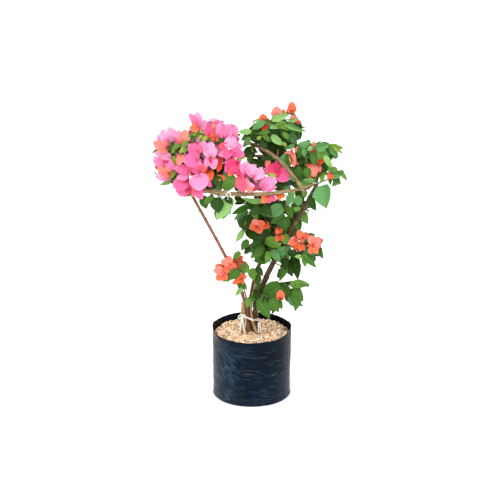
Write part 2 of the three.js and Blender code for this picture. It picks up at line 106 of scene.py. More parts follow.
def colour(hex_code):
    """A plain base colour from its usual six-figure code, by the sRGB curve."""
    channels = [int(hex_code[i : i + 2], 16) / 255 for i in (0, 2, 4)]
    return (*[c / 12.92 if c < 0.04045 else ((c + 0.055) / 1.055) ** 2.4 for c in channels], 1)


class Socket:
    """A value in a finish, which takes part in sums."""

    def __init__(self, finish, out):
        self.finish, self.out = finish, out

    def sum(self, operation, *others):
        return self.finish.node("ShaderNodeMath", {"operation": operation}, [self, *others])

    def __add__(self, other):
        return self.sum("ADD", other)

    def __mul__(self, other):
        return self.sum("MULTIPLY", other)

    def __sub__(self, other):
        return self.sum("SUBTRACT", other)

    def __rsub__(self, other):
        return self.finish.node("ShaderNodeMath", {"operation": "SUBTRACT"}, [other, self])

    __radd__ = __add__
    __rmul__ = __mul__


class Finish:
    """A material with one Principled shader."""

    def __init__(self, name, **values):
        self.material = bpy.data.materials.new(name)
        self.material.use_nodes = True
        self.tree = self.material.node_tree
        self.shader = self.tree.nodes["Principled BSDF"]
        for socket, value in values.items():
            self.set(socket.replace("_", " ").title().replace("Ior", "IOR"), value)

    def set(self, socket, value):
        if isinstance(value, Socket):
            self.tree.links.new(value.out, self.shader.inputs[socket])
        else:
            self.shader.inputs[socket].default_value = value

    def node(self, kind, settings=None, inputs=(), out=0):
        made = self.tree.nodes.new(kind)
        for key, value in (settings or {}).items():
            if key == "stops":
                ramp = made.color_ramp
                while len(ramp.elements) < len(value):
                    ramp.elements.new(0.5)
                for element, (place, shade) in zip(ramp.elements, value):
                    element.position, element.color = place, shade
            else:
                setattr(made, key, value)
        given = inputs.items() if isinstance(inputs, dict) else enumerate(inputs)
        for key, value in given:
            if isinstance(value, Socket):
                self.tree.links.new(value.out, made.inputs[key])
            else:
                made.inputs[key].default_value = value
        return Socket(self, made.outputs[out])

    def place(self, kind="Object"):
        return self.node("ShaderNodeTexCoord", out=kind)

    def stretched(self, place, scale):
        return self.node("ShaderNodeMapping", inputs={"Vector": place, "Scale": scale})

    def noise(self, place, scale, detail=3, roughness=0.5):
        values = {"Vector": place, "Scale": scale, "Detail": detail, "Roughness": roughness}
        return self.node("ShaderNodeTexNoise", inputs=values)

    def ramp(self, value, *stops):
        return self.node("ShaderNodeValToRGB", {"stops": stops}, {"Fac": value})

    def attribute(self, name, out):
        return self.node("ShaderNodeAttribute", {"attribute_name": name}, out=out)

    def parts(self, vector):
        return [self.node("ShaderNodeSeparateXYZ", inputs=[vector], out=number) for number in range(3)]

    def mixed(self, share, base, over):
        return self.node("ShaderNodeMix", {"data_type": "RGBA"}, {0: share, 6: base, 7: over}, out=2)

    def bump(self, height, distance):
        values = {"Strength": 1.0, "Distance": distance, "Height": height}
        self.set("Normal", self.node("ShaderNodeBump", inputs=values))


def bark_finish(name, dark, mid, light, patch="8f9a6a"):
    """Bark with streaks along the cane, fine specks in its relief and a patchy bloom."""
    bark = Finish(name, roughness=0.82, specular_ior_level=0.3)
    lengthwise = bark.stretched(bark.place("UV"), (1, 0.004, 1))
    streaks = bark.noise(lengthwise, 14, 5, 0.65)
    tone = bark.ramp(streaks, (0.3, colour(dark)), (0.52, colour(mid)), (0.72, colour(light)))
    patches = bark.ramp(bark.noise(bark.place(), 34, 3), (0.56, BLACK), (0.72, WHITE))
    bark.set("Base Color", bark.mixed(patches * 0.35, tone, colour(patch)))
    grain = bark.noise(bark.stretched(bark.place("UV"), (1, 0.012, 1)), 22, 4, 0.7)
    bark.bump(grain + streaks * 0.6 + bark.noise(bark.place(), 420, 2) * 0.5, 0.0011)
    return bark.material


def film_finish():
    """Thin black film: pale streaks, brighter along the creases the mesh keeps, are painted highlights; a blue
    patch is painted sheen.
    """
    film = Finish("black bag film", specular_ior_level=0.09, specular_tint=(0.7, 0.85, 1, 1))
    wrap, crease = film.attribute("wrap", 1), film.attribute("crease", 2)
    left, painted_sheen_patch, right = film.parts(film.attribute("areas", 1))
    cloud = film.noise(film.place(), 11, 2)
    patches = film.ramp(film.noise(wrap, 45, 2), (0.4, BLACK), (0.62, WHITE))

    def streaks(tilt, long, short, low, high):
        values = {"Vector": wrap, "Rotation": (0, 0, math.radians(tilt)), "Scale": (long, short, 1)}
        turned_place = film.node("ShaderNodeMapping", {"vector_type": "TEXTURE"}, values)
        return film.ramp(film.noise(turned_place, 1, 2, 0.6), (low, BLACK), (high, WHITE))

    level = streaks(-2, 0.06, 0.0036, 0.6, 0.76) * patches
    slanted = streaks(-52, 0.03, 0.0036, 0.5, 0.7) * left * (patches * 0.6 + 0.4)
    steep = streaks(70, 0.02, 0.004, 0.54, 0.72) * right
    # A painted sheen: a bluish patch mixed into the base colour at the front left.
    sheen = streaks(-20, 0.02, 0.012, 0.36, 0.66) * painted_sheen_patch
    # The base is a dark navy, lighter in soft clouds that are partly a faint painted sheen.
    base = film.ramp(cloud, (0.36, colour("02080d")), (0.66, colour("051220")))
    with_painted_sheen = film.mixed(sheen * 0.42, base, colour("3c5a80"))
    # Painted highlights: pale lines along the creases and the streaks, mixed into the base colour.
    pale = crease * 0.16 + level * 0.09 + slanted * 0.26 + steep * 0.12
    film.set("Base Color", film.mixed(pale, with_painted_sheen, colour("93a3bc")))
    film.set("Roughness", film.noise(film.place(), 30, 3) * 0.2 + 0.26)
    film.bump(cloud * 0.3 + level * 0.06 + slanted * 0.06 + sheen * 0.1, 0.0016)
    return film.material


def plain_finish(name, hex_code, grain, depth, **values):
    """One plain colour, with an uneven roughness and a fine relief."""
    finish = Finish(name, base_color=colour(hex_code), **values)
    spread = finish.noise(finish.place(), grain, 3, 0.6)
    finish.set("Roughness", spread * 0.3 + values.get("roughness", 0.5) - 0.15)
    finish.bump(spread, depth)
    return finish.material


def blade_finish(name, hex_code, veins, roughness, **values):
    """A plain colour with side veins that follow the blade's own UV map."""
    finish = Finish(name, base_color=colour(hex_code), specular_ior_level=0.22, **values)
    across, along, _ = finish.parts(finish.place("UV"))
    aside = (across - 0.5).sum("ABSOLUTE")
    ribs = ((along - aside * 0.55) * (veins * FULL_TURN)).sum("SINE")
    mottle = finish.noise(finish.place(), 160, 2)
    finish.set("Roughness", mottle * 0.2 + roughness)
    finish.bump(ribs * 0.5 + mottle * 0.8, 0.0006)
    return finish.material


# Meshes


def finish_object(name, mesh, finishes, replaced, smooth=True):
    for finish in finishes:
        mesh.materials.append(finish)
    mesh.polygons.foreach_set("use_smooth", [smooth] * len(mesh.polygons))
    piece = bpy.data.objects.new(name.replace(" ", "_"), mesh)
    bpy.context.scene.collection.objects.link(piece)
    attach(piece, "root")
    if replaced:
        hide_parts(*replaced)
    return piece


def shaped_sheet(columns, rows, shape):
    """A mesh bent from a flat grid: shape gives points, and UV, for arrays u and v from 0 to 1."""
    bm = bmesh.new()
    bmesh.ops.create_grid(bm, x_segments=columns, y_segments=rows, size=0.5)
    flat = np.array([vert.co[:2] for vert in bm.verts]) + 0.5
    points, uv = shape(flat[:, 0], flat[:, 1])
    layer = bm.loops.layers.uv.new("UVMap")
    for face in bm.faces:
        for loop in face.loops:
            loop[layer].uv = uv[loop.vert.index]
    for vert, point in zip(bm.verts, points * MM):
        vert.co = point
    bmesh.ops.remove_doubles(bm, verts=bm.verts, dist=1e-7)
    bmesh.ops.dissolve_degenerate(bm, edges=bm.edges, dist=1e-7)
    return bm


def mesh_of(bm, name):
    bmesh.ops.recalc_face_normals(bm, faces=bm.faces)
    mesh = bpy.data.meshes.new(name)
    bm.to_mesh(mesh)
    bm.free()
    return mesh


FINE_STEPS, SHORT_STEP = 200, 0.001


class Line:
    """A curve with its stations spread evenly along it. place gives its points for an array of shares."""

    def __init__(self, place):
        self.place = place
        self.shares = np.linspace(0, 1, FINE_STEPS + 1)
        steps = np.linalg.norm(np.diff(place(self.shares), axis=0), axis=1)
        self.reached = np.concatenate([[0], np.cumsum(steps)])
        self.length = self.reached[-1]

    def at(self, station):
        station = np.atleast_1d(station)
        return self.place(np.interp(station * self.length, self.reached, self.shares))

    def point(self, station):
        return self.at(station)[0]

    def along(self, station):
        low, high = max(station - SHORT_STEP, 0), min(station + SHORT_STEP, 1)
        return unit(self.point(high) - self.point(low))

    def frames(self, stations):
        """Points, and two ways square to the line at each, carried along without a twist."""
        points = self.at(stations)
        ways = np.array([self.along(station) for station in stations])
        side = any_square(ways[0])
        sides = []
        for way in ways:
            side = squared(side, way)
            sides.append(side)
        sides = np.array(sides)
        return points, sides, np.cross(ways, sides)


def bend(a, b, c, d):
    a, b, c, d = (np.array(p, float) for p in (a, b, c, d))

    def place(t):
        t = t[:, None]
        s = 1 - t
        return s**3 * a + 3 * s * s * t * b + 3 * s * t * t * c + t**3 * d

    return Line(place)


def arch(a, b, c):
    a, b, c = (np.array(p, float) for p in (a, b, c))

    def place(t):
        t = t[:, None]
        return (1 - t) ** 2 * a + 2 * (1 - t) * t * b + t**2 * c

    return Line(place)


def through(points, closed=False):
    """A smooth curve through points."""
    points = np.array(points, float)
    count = len(points) if closed else len(points) - 1
    if not closed:
        points = np.vstack([2 * points[0] - points[1], points, 2 * points[-1] - points[-2]])

    def place(t):
        x = np.clip(t, 0, 1) * count
        i = np.minimum(np.floor(x).astype(int), count - 1)
        f = (x - i)[:, None]
        first = i - 1 if closed else i
        a, b, c, d = (points[(first + k) % len(points)] for k in range(4))
        bent, turned_on = 2 * a - 5 * b + 4 * c - d, 3 * b - a - 3 * c + d
        return 0.5 * (2 * b + (c - a) * f + bent * f**2 + turned_on * f**3)

    return Line(place)


def tube(name, line, radius_at, sides, step, round_tip=True):
    """A closed tube along a line. radius_at gives the radius for arrays of turns round it and stations."""
    rings = max(4, math.ceil(line.length / step))
    stations = np.concatenate([[0, 0], np.arange(1, rings) / rings, [1, 1, 1]])
    swell = np.concatenate([[0, 1], np.ones(rings - 1), [1, 0.6 if round_tip else 1, 0]])
    past = np.zeros(len(stations))
    if round_tip:
        past[-2:] = (0.75, 1)
    points, sides_at, lifts_at = line.frames(stations)
    onward = np.cross(sides_at, lifts_at)

    def shape(u, v):
        row = np.rint(v * (len(stations) - 1)).astype(int)
        radius = radius_at(u, stations[row]) * swell[row]
        angle = (u % 1) * FULL_TURN
        out = np.cos(angle)[:, None] * sides_at[row] + np.sin(angle)[:, None] * lifts_at[row]
        ahead = onward[row] * (past[row] * radius_at(u * 0, stations[row]))[:, None]
        place = points[row] + out * radius[:, None] + ahead
        return place, np.stack([u, stations[row] * line.length], 1)

    return mesh_of(shaped_sheet(sides, len(stations) - 1, shape), name)


# Limbs: the canes, the hoop and the shoots, each from its foot to its tip

GAP = 0.3
GROUND = 186.3
BELOW = GROUND - 6
HOOP_HALF_WIDTH, HOOP_HALF_DEPTH, HOOP_HEIGHT, HOOP_TURN = 205, 145, 665, math.radians(5)


def hoop_arc(start, end):
    def place(t):
        angle = np.radians(start + (end - start) * t)
        x, y = HOOP_HALF_WIDTH * np.cos(angle), HOOP_HALF_DEPTH * np.sin(angle)
        cos, sin = math.cos(HOOP_TURN), math.sin(HOOP_TURN)
        return np.stack([x * cos - y * sin, x * sin + y * cos, np.full_like(x, HOOP_HEIGHT)], 1)

    return Line(place)


def hoop_point(angle, *shift):
    return hoop_arc(angle, angle).place(np.array([0.0]))[0] + np.array(shift)


class Limb:
    """A cane, a run of the hoop or a shoot. A mass may grow straight on from its tip where that is open."""

    def __init__(self, name, bark, line, foot, tip, flare=0.0, open_tip=True):
        self.name, self.bark, self.line, self.open_tip = name, bark, line, open_tip
        self.foot, self.tip, self.flare = foot, tip, flare

    def radius(self, station):
        return self.foot + (self.tip - self.foot) * station + self.flare * np.exp(-station / 0.035)


LIMBS = {}


def limb(name, bark, line, foot, tip, **options):
    LIMBS[name] = Limb(name, bark, line, foot, tip, **options)


def shoot(name, host_name, station, middle, tip, radii, bark="young"):
    """A shoot that leaves the side of its host, or its tip, square to it."""
    host = LIMBS[host_name]
    start, along = host.line.point(station), host.line.along(station)
    out = along if station == 1 else squared(np.array(middle) - start, along)
    start = start + out * ((0 if station == 1 else host.radius(station)) + GAP)
    handle = start + out * 0.2 * np.linalg.norm(np.array(tip) - start)
    limb(name, bark, bend(start, handle, middle, tip), *radii)


# Name, bark, way, radii at the foot and tip, and how far the foot flares out
limb("right_cane", "dark",
     bend((12, 4, BELOW), (-9, 2, 300), (72, -18, 425), hoop_point(323, 10, -5, 1)), 8.8, 5.4, flare=5)
limb("middle_cane", "purple",
     bend((-10, 14, BELOW), (-6, 12, 420), (60, 16, 430), (101, 24, 591)), 6.8, 3.4, flare=2.5)
limb("left_cane", "red",
     bend((-12, -3, BELOW), (-2, 0, 290), (-60, -22, 400), hoop_point(205, 1, -1, -8.9)), 4.9, 4, flare=1.5)
limb("cut_stub", "tan",
     bend((-26, -18, BELOW), (-26, -18, 220), (-25, -18, 250), (-25, -18, 285)), 5.6, 5.4)
limb("crossing_shoot", "tan",
     bend((19, -24, BELOW), (-22, -22, 268), (8, -18, 300), (9, -14, 352)), 3.9, 2.6, flare=1)
limb("hoop_front_left", "grey", hoop_arc(201, 248.94), 6.2, 5.9, open_tip=False)
limb("hoop_front_right", "grey", hoop_arc(249.06, 323), 5.9, 4, open_tip=False)
limb("hoop_left", "grey", hoop_arc(200.88, 112.06), 6.2, 4.6, open_tip=False)
limb("hoop_back", "grey", hoop_arc(111.94, 38), 4.6, 3.4)
limb("arch_cane", "grey", bend((146, -117.7, 660), (112, -94, 712), (60, 10, 738), (-11, 85, 728)), 5.2, 5)
shoot("lower_left_shoot", "middle_cane", 0.22, (-16, -18, 322), (-36, -31, 364), (3, 2), "tan")
shoot("lower_right_shoot", "right_cane", 0.3, (64, -28, 357), (86, -34, 347), (2.2, 1.4))
shoot("top_shoot", "arch_cane", 0.82, (50, 88, 778), (82, 77, 806), (2.6, 1.6))
shoot("blossom_shoot", "hoop_front_left", 0.06, (-178, -55, 740), (-163, -40, 792), (2.8, 1.6))
shoot("right_tip_shoot", "right_cane", 1, (208, -68, 678), (226, -63, 680), (2.6, 1.6))
shoot("curled_shoot", "right_cane", 0.97, (192, -20, 716), (146, -8, 700), (1.9, 1.3))

BARKS = {
    "dark": bark_finish("dark cane bark", "241a10", "4e3b26", "85694a"),
    "purple": bark_finish("purple brown cane bark", "382820", "5e4a38", "8e775c"),
    "red": bark_finish("reddish cane bark", "5f3b2a", "8f6247", "b58c6c"),
    "tan": bark_finish("tan stick bark", "7a5c3c", "b08a5c", "d8bd92"),
    "grey": bark_finish("grey tan hoop bark", "4c3c26", "86714c", "cdb78e", "9a9b7c"),
    "young": bark_finish("young shoot bark", "4f5a2c", "6f6a40", "94875a"),
}
CUT_WOOD = plain_finish("cut wood", "d9bd8c", 700, 0.0004, roughness=0.8)


def bark_radius(part, seed):
    """The limb's radius with ridges, knots at its joints and small warts."""
    line = part.line
    random = seeded(seed)
    knots = []
    reached = 14 + 16 * random()
    while reached < line.length:
        knots.append((reached / line.length, random(), 0.6 + 0.6 * random()))
        reached += 22 + 24 * random()
    long_cells = max(4, int(line.length / 9))
    fine_cells = max(8, int(line.length / 3))

    def radius(u, station):
        base = part.radius(station)
        lobes = np.exp(-station * line.length / 26) * part.flare * 0.34
        ridges = rough_field(u, station, 7, long_cells, seed) * 0.055 * base
        warts = rough_field(u, station, 13, fine_cells, seed + 1) * 0.035 * base
        swollen = 0
        for place, side, size in knots:
            reach = (station - place) * line.length
            ring = np.exp(-((reach / 3.6) ** 2)) * 0.1
            aside = np.abs((u - side + 0.5) % 1 - 0.5)
            scar = np.exp(-((reach / 2.6) ** 2) - (aside / 0.11) ** 2) * 0.3
            swollen = swollen + (ring + scar) * size * base
        return base + ridges + warts + swollen + lobes * np.cos(FULL_TURN * (u * 4 + 0.1)) * 0.8

    return radius


BARK_SEED, BARK_STEP = 900, 1.9
for number, part in enumerate(LIMBS.values()):
    sides = 28 if part.foot > 6 else 20 if part.foot > 3.2 else 12
    cut = part.name == "cut_stub"
    radius_at = bark_radius(part, BARK_SEED + number)
    mesh = tube(part.name + " bark", part.line, radius_at, sides, BARK_STEP, round_tip=not cut)
    keep = bmesh.new()
    keep.from_mesh(mesh)
    if part.line.point(0)[2] < GROUND:
        everything = [*keep.verts, *keep.edges, *keep.faces]
        bmesh.ops.bisect_plane(
            keep, geom=everything, plane_co=(0, 0, GROUND * MM), plane_no=(0, 0, -1), clear_outer=True
        )
        rim = [edge for edge in keep.edges if edge.is_boundary]
        bmesh.ops.holes_fill(keep, edges=rim)
    for face in keep.faces:
        face.material_index = int(cut and face.normal.z > 0.9)
    mesh = mesh_of(keep, part.name + " bark")
    finish_object(
        part.name.replace("_", " ") + " bark", mesh, [BARKS[part.bark], CUT_WOOD], [part.name],
    )

# The bag and the growing mix

# Radii at the top, half way and at the foot, the height, the round of the foot and the film
BAG_TOP, BAG_MIDDLE, BAG_FOOT, BAG_HEIGHT, BAG_CORNER = 111, 109, 107.8, 200, 2.4
FILM = 0.9
# The flat seams: turn, width in turns, and how far the rim stands out there
BAG_SEAMS = [(0.5, 0.055, 0.4), (0.0, 0.06, 1.8), (1.0, 0.06, 1.8)]
SEAM_LIFT, SEAM_FOOT = 9, 2.2
# Columns and rows of the grids that the bag and the heap of mix are bent from
BAG_GRID, MIX_GRID = (380, 230), (160, 60)
CREASE_SEED, CREASE_MARGIN = 77, 6

# Creases in the film, in families: how many, their span of turns and of heights, their slope in degrees with
# its spread, their shortest and longest lengths and their strength. Turns run from the right, and 0.75 is the
# front.
CREASE_FAMILIES = [
    (130, (0, 1), (0.06, 0.94), (-3, 9), (16, 60), 0.7),
    (40, (0.62, 0.86), (0.12, 0.9), (-4, 7), (20, 62), 0.9),
    (120, (0.45, 0.665), (0.04, 0.92), (-54, 18), (14, 60), 0.75),
    (40, (0.47, 0.68), (0.06, 0.8), (30, 30), (10, 36), 0.6),
    (60, (0.9, 1.05), (0.04, 0.95), (74, 22), (10, 40), 0.7),
    (36, (0.6, 0.95), (0.01, 0.12), (16, 12), (24, 70), 0.7),
    (110, (0.08, 0.42), (0.05, 0.92), (-30, 45), (14, 50), 0.7),
]


def crease_strokes():
    """Each crease: turn, height in millimetres, slope, half length, half width, strength and bend."""
    random = seeded(CREASE_SEED)
    strokes = []
    for count, turns, heights, (slope, spread), (short, long), strength in CREASE_FAMILIES:
        for _ in range(count):
            turn = turns[0] + (turns[1] - turns[0]) * random()
            height = BAG_HEIGHT * (heights[0] + (heights[1] - heights[0]) * random())
            tilt = math.radians(slope + spread * (random() + random() - 1))
            half = (short + (long - short) * random() ** 1.5) / 2
            width = 0.7 + 0.5 * random()
            own_strength = strength * (0.2 + 0.8 * random() ** 1.5)
            strokes.append((turn, height, tilt, half, width, own_strength, (random() - 0.5) * 0.016))
    return strokes


CREASES = crease_strokes()


def crease_field(turn, height):
    """How strongly the film is creased at each turn round the bag and share of its height."""
    total = np.zeros(np.broadcast(turn, height).shape)
    for at_turn, at_height, tilt, half, width, strength, bent in CREASES:
        across = ((turn - at_turn + 0.5) % 1 - 0.5) * FULL_TURN * BAG_MIDDLE
        up = height * BAG_HEIGHT - at_height
        near = (np.abs(across) < half + CREASE_MARGIN) & (np.abs(up) < half + CREASE_MARGIN)
        along = across[near] * math.cos(tilt) + up[near] * math.sin(tilt)
        aside = up[near] * math.cos(tilt) - across[near] * math.sin(tilt) + bent * along**2
        ends = np.clip(1 - (along / half) ** 2, 0, 1)
        total[near] = np.maximum(total[near], strength * ends * np.exp(-((aside / width) ** 2)))
    return total


def bag_wrinkles(turn, height):
    """How far the film stands in or out at a turn round the bag and a share of its height."""
    warped = height + 0.02 * np.sin(FULL_TURN * turn * 3 + 1)
    long_folds = rough_field(turn, warped, 7, 12, 31) * 0.5
    slants = 1 - np.abs(rough_field(turn + 0.27 * height, height, 24, 6, 33)) * 2
    left = np.exp(-(((turn - 0.52) / 0.17) ** 2)) + 0.5 * np.exp(-(((turn - 0.03) / 0.08) ** 2))
    crumple = rough_field(turn, height, 44, 40, 34) * 0.1
    calm = np.clip(height * 9, 0, 1)
    sway = rough_field(turn, height, 5, 3, 35) * 1.2
    return calm * (long_folds + np.clip(slants, -0.3, 1) * 0.8 * left + crumple) + sway


def bag_shape(u, v):
    outline = np.array([
        (0, 0), (60, 0), (BAG_FOOT - BAG_CORNER, 0), (BAG_FOOT - 1, 1), (BAG_FOOT, BAG_CORNER),
        (BAG_TOP, BAG_HEIGHT), (BAG_TOP - 0.4, BAG_HEIGHT + 0.5), (BAG_TOP - FILM, BAG_HEIGHT),
        (BAG_FOOT - FILM + 3, 150), (60, 150), (0, 150),
    ])
    marks = np.array([0, 0.01, 0.02, 0.03, 0.04, 0.9, 0.905, 0.91, 0.97, 0.985, 1])
    radius, height = np.interp(v, marks, outline[:, 0]), np.interp(v, marks, outline[:, 1])
    share = height / BAG_HEIGHT
    wall = np.interp(v, [0, 0.02, 0.04, 0.97, 0.985, 1], [0, 0.25, 1, 1, 0, 0])
    radius = radius + (bag_wrinkles(u, share) + 0.9 * crease_field(u, share)) * wall
    rim = np.clip(share - 0.75, 0, 0.25) * 4
    droop = 1.6 * np.sin(FULL_TURN * (u - 0.1)) + 1.4 * rough_field(u, u * 0, 14, 2, 36) - 0.6
    lift = rough_field(u, u * 0, 60, 2, 37) * 0.5
    for side, wide, out in BAG_SEAMS:
        corner = np.exp(-(((u - side) / wide) ** 2))
        lift = lift + SEAM_LIFT * corner
        radius = radius + out * corner * rim
        radius = radius + SEAM_FOOT * corner * np.clip(1 - share / 0.05, 0, 1) * wall
    angle = u * FULL_TURN
    ragged = np.clip(1 - share * 12, 0, 1) * wall * np.abs(rough_field(u, u * 0, 30, 2, 38)) * 1.5
    height = height + rim * (droop + lift) + ragged
    return np.stack([np.cos(angle) * radius, np.sin(angle) * radius, height], 1), np.stack([u, v], 1)


def mark_film(mesh):
    """Keeps on the mesh, for its finish, the creases, the film laid out flat and the areas of painted highlight
    streaks and painted sheen.
    """
    places = np.zeros(len(mesh.vertices) * 3, np.float32)
    mesh.vertices.foreach_get("co", places)
    x, y, z = places.reshape(-1, 3).astype(float).T / MM
    outer = np.hypot(x, y) > BAG_FOOT - 4
    crease = crease_field(np.arctan2(y, x) / FULL_TURN % 1, z / BAG_HEIGHT) * outer
    turn = (np.arctan2(y, x) / FULL_TURN - 0.25) % 1 + 0.25
    height = z / BAG_HEIGHT

    def bell(values, middle, width):
        return ((values - middle) / width) ** 2

    # left and right mark where the painted highlight streaks slant and where they run steeply.
    left = np.exp(-bell(turn, 0.55, 0.075)) + 0.6 * np.exp(-bell(turn, 0.62, 0.06) - bell(height, 0, 0.35))
    # Where the painted sheen patch lies, at the front left, with a little round the foot.
    painted_sheen_patch = np.exp(-bell(turn, 0.655, 0.045) - bell(height, 0.56, 0.27))
    painted_sheen_patch = painted_sheen_patch + 0.25 * np.exp(-bell(height, 0, 0.3))
    right = np.exp(-bell(turn, 0.96, 0.05)) + 0.5 * (turn < 0.45)
    wrap = np.stack([turn * FULL_TURN * BAG_TOP * MM, height * BAG_HEIGHT * MM, turn * 0], 1)
    areas = np.stack([left, painted_sheen_patch, right], 1) * outer[:, None]
    for name, kind, field, values in (
        ("crease", "FLOAT", "value", crease), ("wrap", "FLOAT_VECTOR", "vector", wrap),
        ("areas", "FLOAT_VECTOR", "vector", areas),
    ):
        mesh.attributes.new(name, kind, "POINT").data.foreach_set(field, values.astype(np.float32).ravel())


bag_mesh = mesh_of(shaped_sheet(*BAG_GRID, bag_shape), "wrinkled bag film")
mark_film(bag_mesh)
finish_object("wrinkled bag film", bag_mesh, [film_finish()], ["nursery_bag"])


def mix_height(x, y):
    """The height of the growing mix, which is heaped a little round the canes."""
    away = np.hypot(x, y)
    u, v = x / 240 + 0.5, y / 240 + 0.5
    lumps = rough_field(u, v, 24, 24, 51) * 1.1 + rough_field(u, v, 60, 60, 52) * 0.7
    return 185.2 - np.clip((away - 55) / 50, 0, 1) ** 1.5 * 4.5 + lumps


def mix_shape(u, v):
    rim = bag_wrinkles(u, 0.91) - 2.6 + 109.6
    radius = np.minimum(v * 1.06, 1) * rim
    x, y = np.cos(u * FULL_TURN) * radius, np.sin(u * FULL_TURN) * radius
    height = np.where(v > 0.96, 172, mix_height(x, y))
    radius = np.where(v > 0.985, 0, 1)
    return np.stack([x * radius, y * radius, height], 1), np.stack([u, v], 1)


def mix_finish(name, dark, light):
    mix = Finish(name, roughness=0.92)
    grain = mix.noise(mix.place(), 190, 5, 0.7)
    mix.set("Base Color", mix.ramp(grain, (0.32, colour(dark)), (0.62, colour(light))))
    mix.bump(grain, 0.004)
    return mix.material


MIX_FINISHES = [
    mix_finish("growing mix", "966c48", "dcb48a"),
    plain_finish("pale shavings", "fdebd0", 500, 0.0006, roughness=0.85),
    plain_finish("tan shavings", "f2cfa6", 500, 0.0006, roughness=0.85),
    plain_finish("brown flakes", "d5a276", 500, 0.0006, roughness=0.85),
    plain_finish("dark flakes", "9c6c46", 500, 0.0006, roughness=0.85),
]
finish_object(
    "growing mix heap", mesh_of(shaped_sheet(*MIX_GRID, mix_shape), "growing mix heap"),
    MIX_FINISHES[:1], ["growing_mix"],
)


# Many small shapes joined into one mesh


def template(columns, rows, shape, zones=None):
    """The points, faces, UV and zone of each face of a small shape that is repeated."""
    bm = shaped_sheet(columns, rows, lambda u, v: (shape(u, v) / MM, np.stack([u, v], 1)))
    layer = bm.loops.layers.uv.active
    bm.verts.index_update()
    points = np.array([vert.co for vert in bm.verts])
    sizes, corners, uv, zone = [], [], [], []
    for face in bm.faces:
        sizes.append(len(face.loops))
        corners += [loop.vert.index for loop in face.loops]
        uv += [tuple(loop[layer].uv) for loop in face.loops]
        middle = np.mean([tuple(loop[layer].uv) for loop in face.loops], axis=0)
        zone.append(zones(*middle) if zones else 0)
    bm.free()
    return points, np.array(sizes), np.array(corners), np.array(uv), np.array(zone)


def joined_mesh(name, copies):
    """One mesh of many copies. Each gives its points, face sizes, corners, UV and a tint for each face."""
    points, sizes, corners, uv, tints = zip(*copies)
    firsts = np.cumsum([0] + [len(copy) for copy in points[:-1]])
    corners = np.concatenate([own + first for own, first in zip(corners, firsts)])
    points, sizes, tints = np.concatenate(points) * MM, np.concatenate(sizes), np.concatenate(tints)
    mesh = bpy.data.meshes.new(name)
    mesh.vertices.add(len(points))
    mesh.vertices.foreach_set("co", points.ravel().astype(np.float32))
    mesh.loops.add(len(corners))
    mesh.loops.foreach_set("vertex_index", corners.astype(np.int32))
    mesh.polygons.add(len(sizes))
    starts = np.concatenate([[0], np.cumsum(sizes)[:-1]])
    mesh.polygons.foreach_set("loop_start", starts.astype(np.int32))
    mesh.polygons.foreach_set("material_index", tints.astype(np.int32))
    mesh.uv_layers.new(name="UVMap").data.foreach_set("uv", np.concatenate(uv).ravel().astype(np.float32))
    mesh.update()
    mesh.validate()
    return mesh


class Heap:
    """Copies of small shapes for one mesh: shape number, frame, place, size and tints by zone of each."""

    def __init__(self, shapes):
        self.shapes, self.copies = shapes, []

    def add(self, kind, side, heading, face, place, size, tint):
        self.copies.append((kind % len(self.shapes), np.array([side, heading, face]), place, size, tint))

    def mesh(self, name):
        made = []
        for kind, axes, place, size, tint in self.copies:
            points, sizes, corners, uv, zone = self.shapes[kind]
            made.append((points * size @ axes + place, sizes, corners, uv, np.array(tint)[zone]))
        return joined_mesh(name, made)


# Flakes and shavings on the mix


def flake_shape(curl, taper):
    def shape(u, v):
        x, y = (u - 0.5) * (0.26 - taper * np.abs(v - 0.5)), v - 0.5
        return np.stack([x, y, curl * (0.25 - y * y) + 0.05 * np.sin(7 * v + u * 3)], 1)

    return template(2, 4, shape)


FLAKE_CURLS_AND_TAPERS = ((0.1, 0.1), (0.35, 0.2), (0.7, 0.3), (-0.2, 0.25))
FLAKES = Heap([flake_shape(curl, taper) for curl, taper in FLAKE_CURLS_AND_TAPERS])
FLAKE_COUNT, FLAKE_SEED, FLAKE_REACH = 4600, 4001, 98
random = seeded(FLAKE_SEED)
for _ in range(FLAKE_COUNT):
    away = FLAKE_REACH * math.sqrt(random())
    angle = FULL_TURN * random()
    x, y = away * math.cos(angle), away * math.sin(angle)
    heading = unit(turned(ACROSS, UP, FULL_TURN * random()) + UP * (random() - 0.5) * 0.7)
    face = squared(UP + ACROSS * (random() - 0.5) * 0.8 + np.array([0, random() - 0.5, 0]) * 0.8, heading)
    size = min(6 + 15 * random() ** 1.6, 2 * (106 - away))
    shade = random()
    tint = 0 if shade < 0.42 else 1 if shade < 0.74 else 2 if shade < 0.91 else 3
    place = np.array([x, y, float(mix_height(x, y)) + 0.8 + 2.2 * random()])
    FLAKES.add(int(random() * 4), np.cross(heading, face), heading, face, place, size, (tint,))
flakes = FLAKES.mesh("flakes and shavings")
finish_object("flakes and shavings", flakes, MIX_FINISHES[1:], [], smooth=False)

# Twine round the foot of the canes, with a bow, and round the hoop

TWINE = plain_finish("white twine", "ece8de", 900, 0.0006, roughness=0.85)


def twine(name, line, replaced=(), wide=1.6, thin=0.6):
    """A flat strip of twine, with frayed strands along it."""

    def radius(u, station):
        angle = FULL_TURN * u
        flat = 1 / np.hypot(np.cos(angle) / wide, np.sin(angle) / thin)
        return flat * (0.92 + 0.08 * np.cos(angle * 5 + 3 * np.sin(station * line.length / 9)))

    mesh = tube(name, line, radius, 14, 1.2)
    return finish_object(name, mesh, [TWINE], list(replaced))


def loose_twine(front, ways, wide=1.6, thin=0.6):
    for name, points in ways.items():
        twine(name, through([front + np.array(point) for point in points]), (), wide, thin)


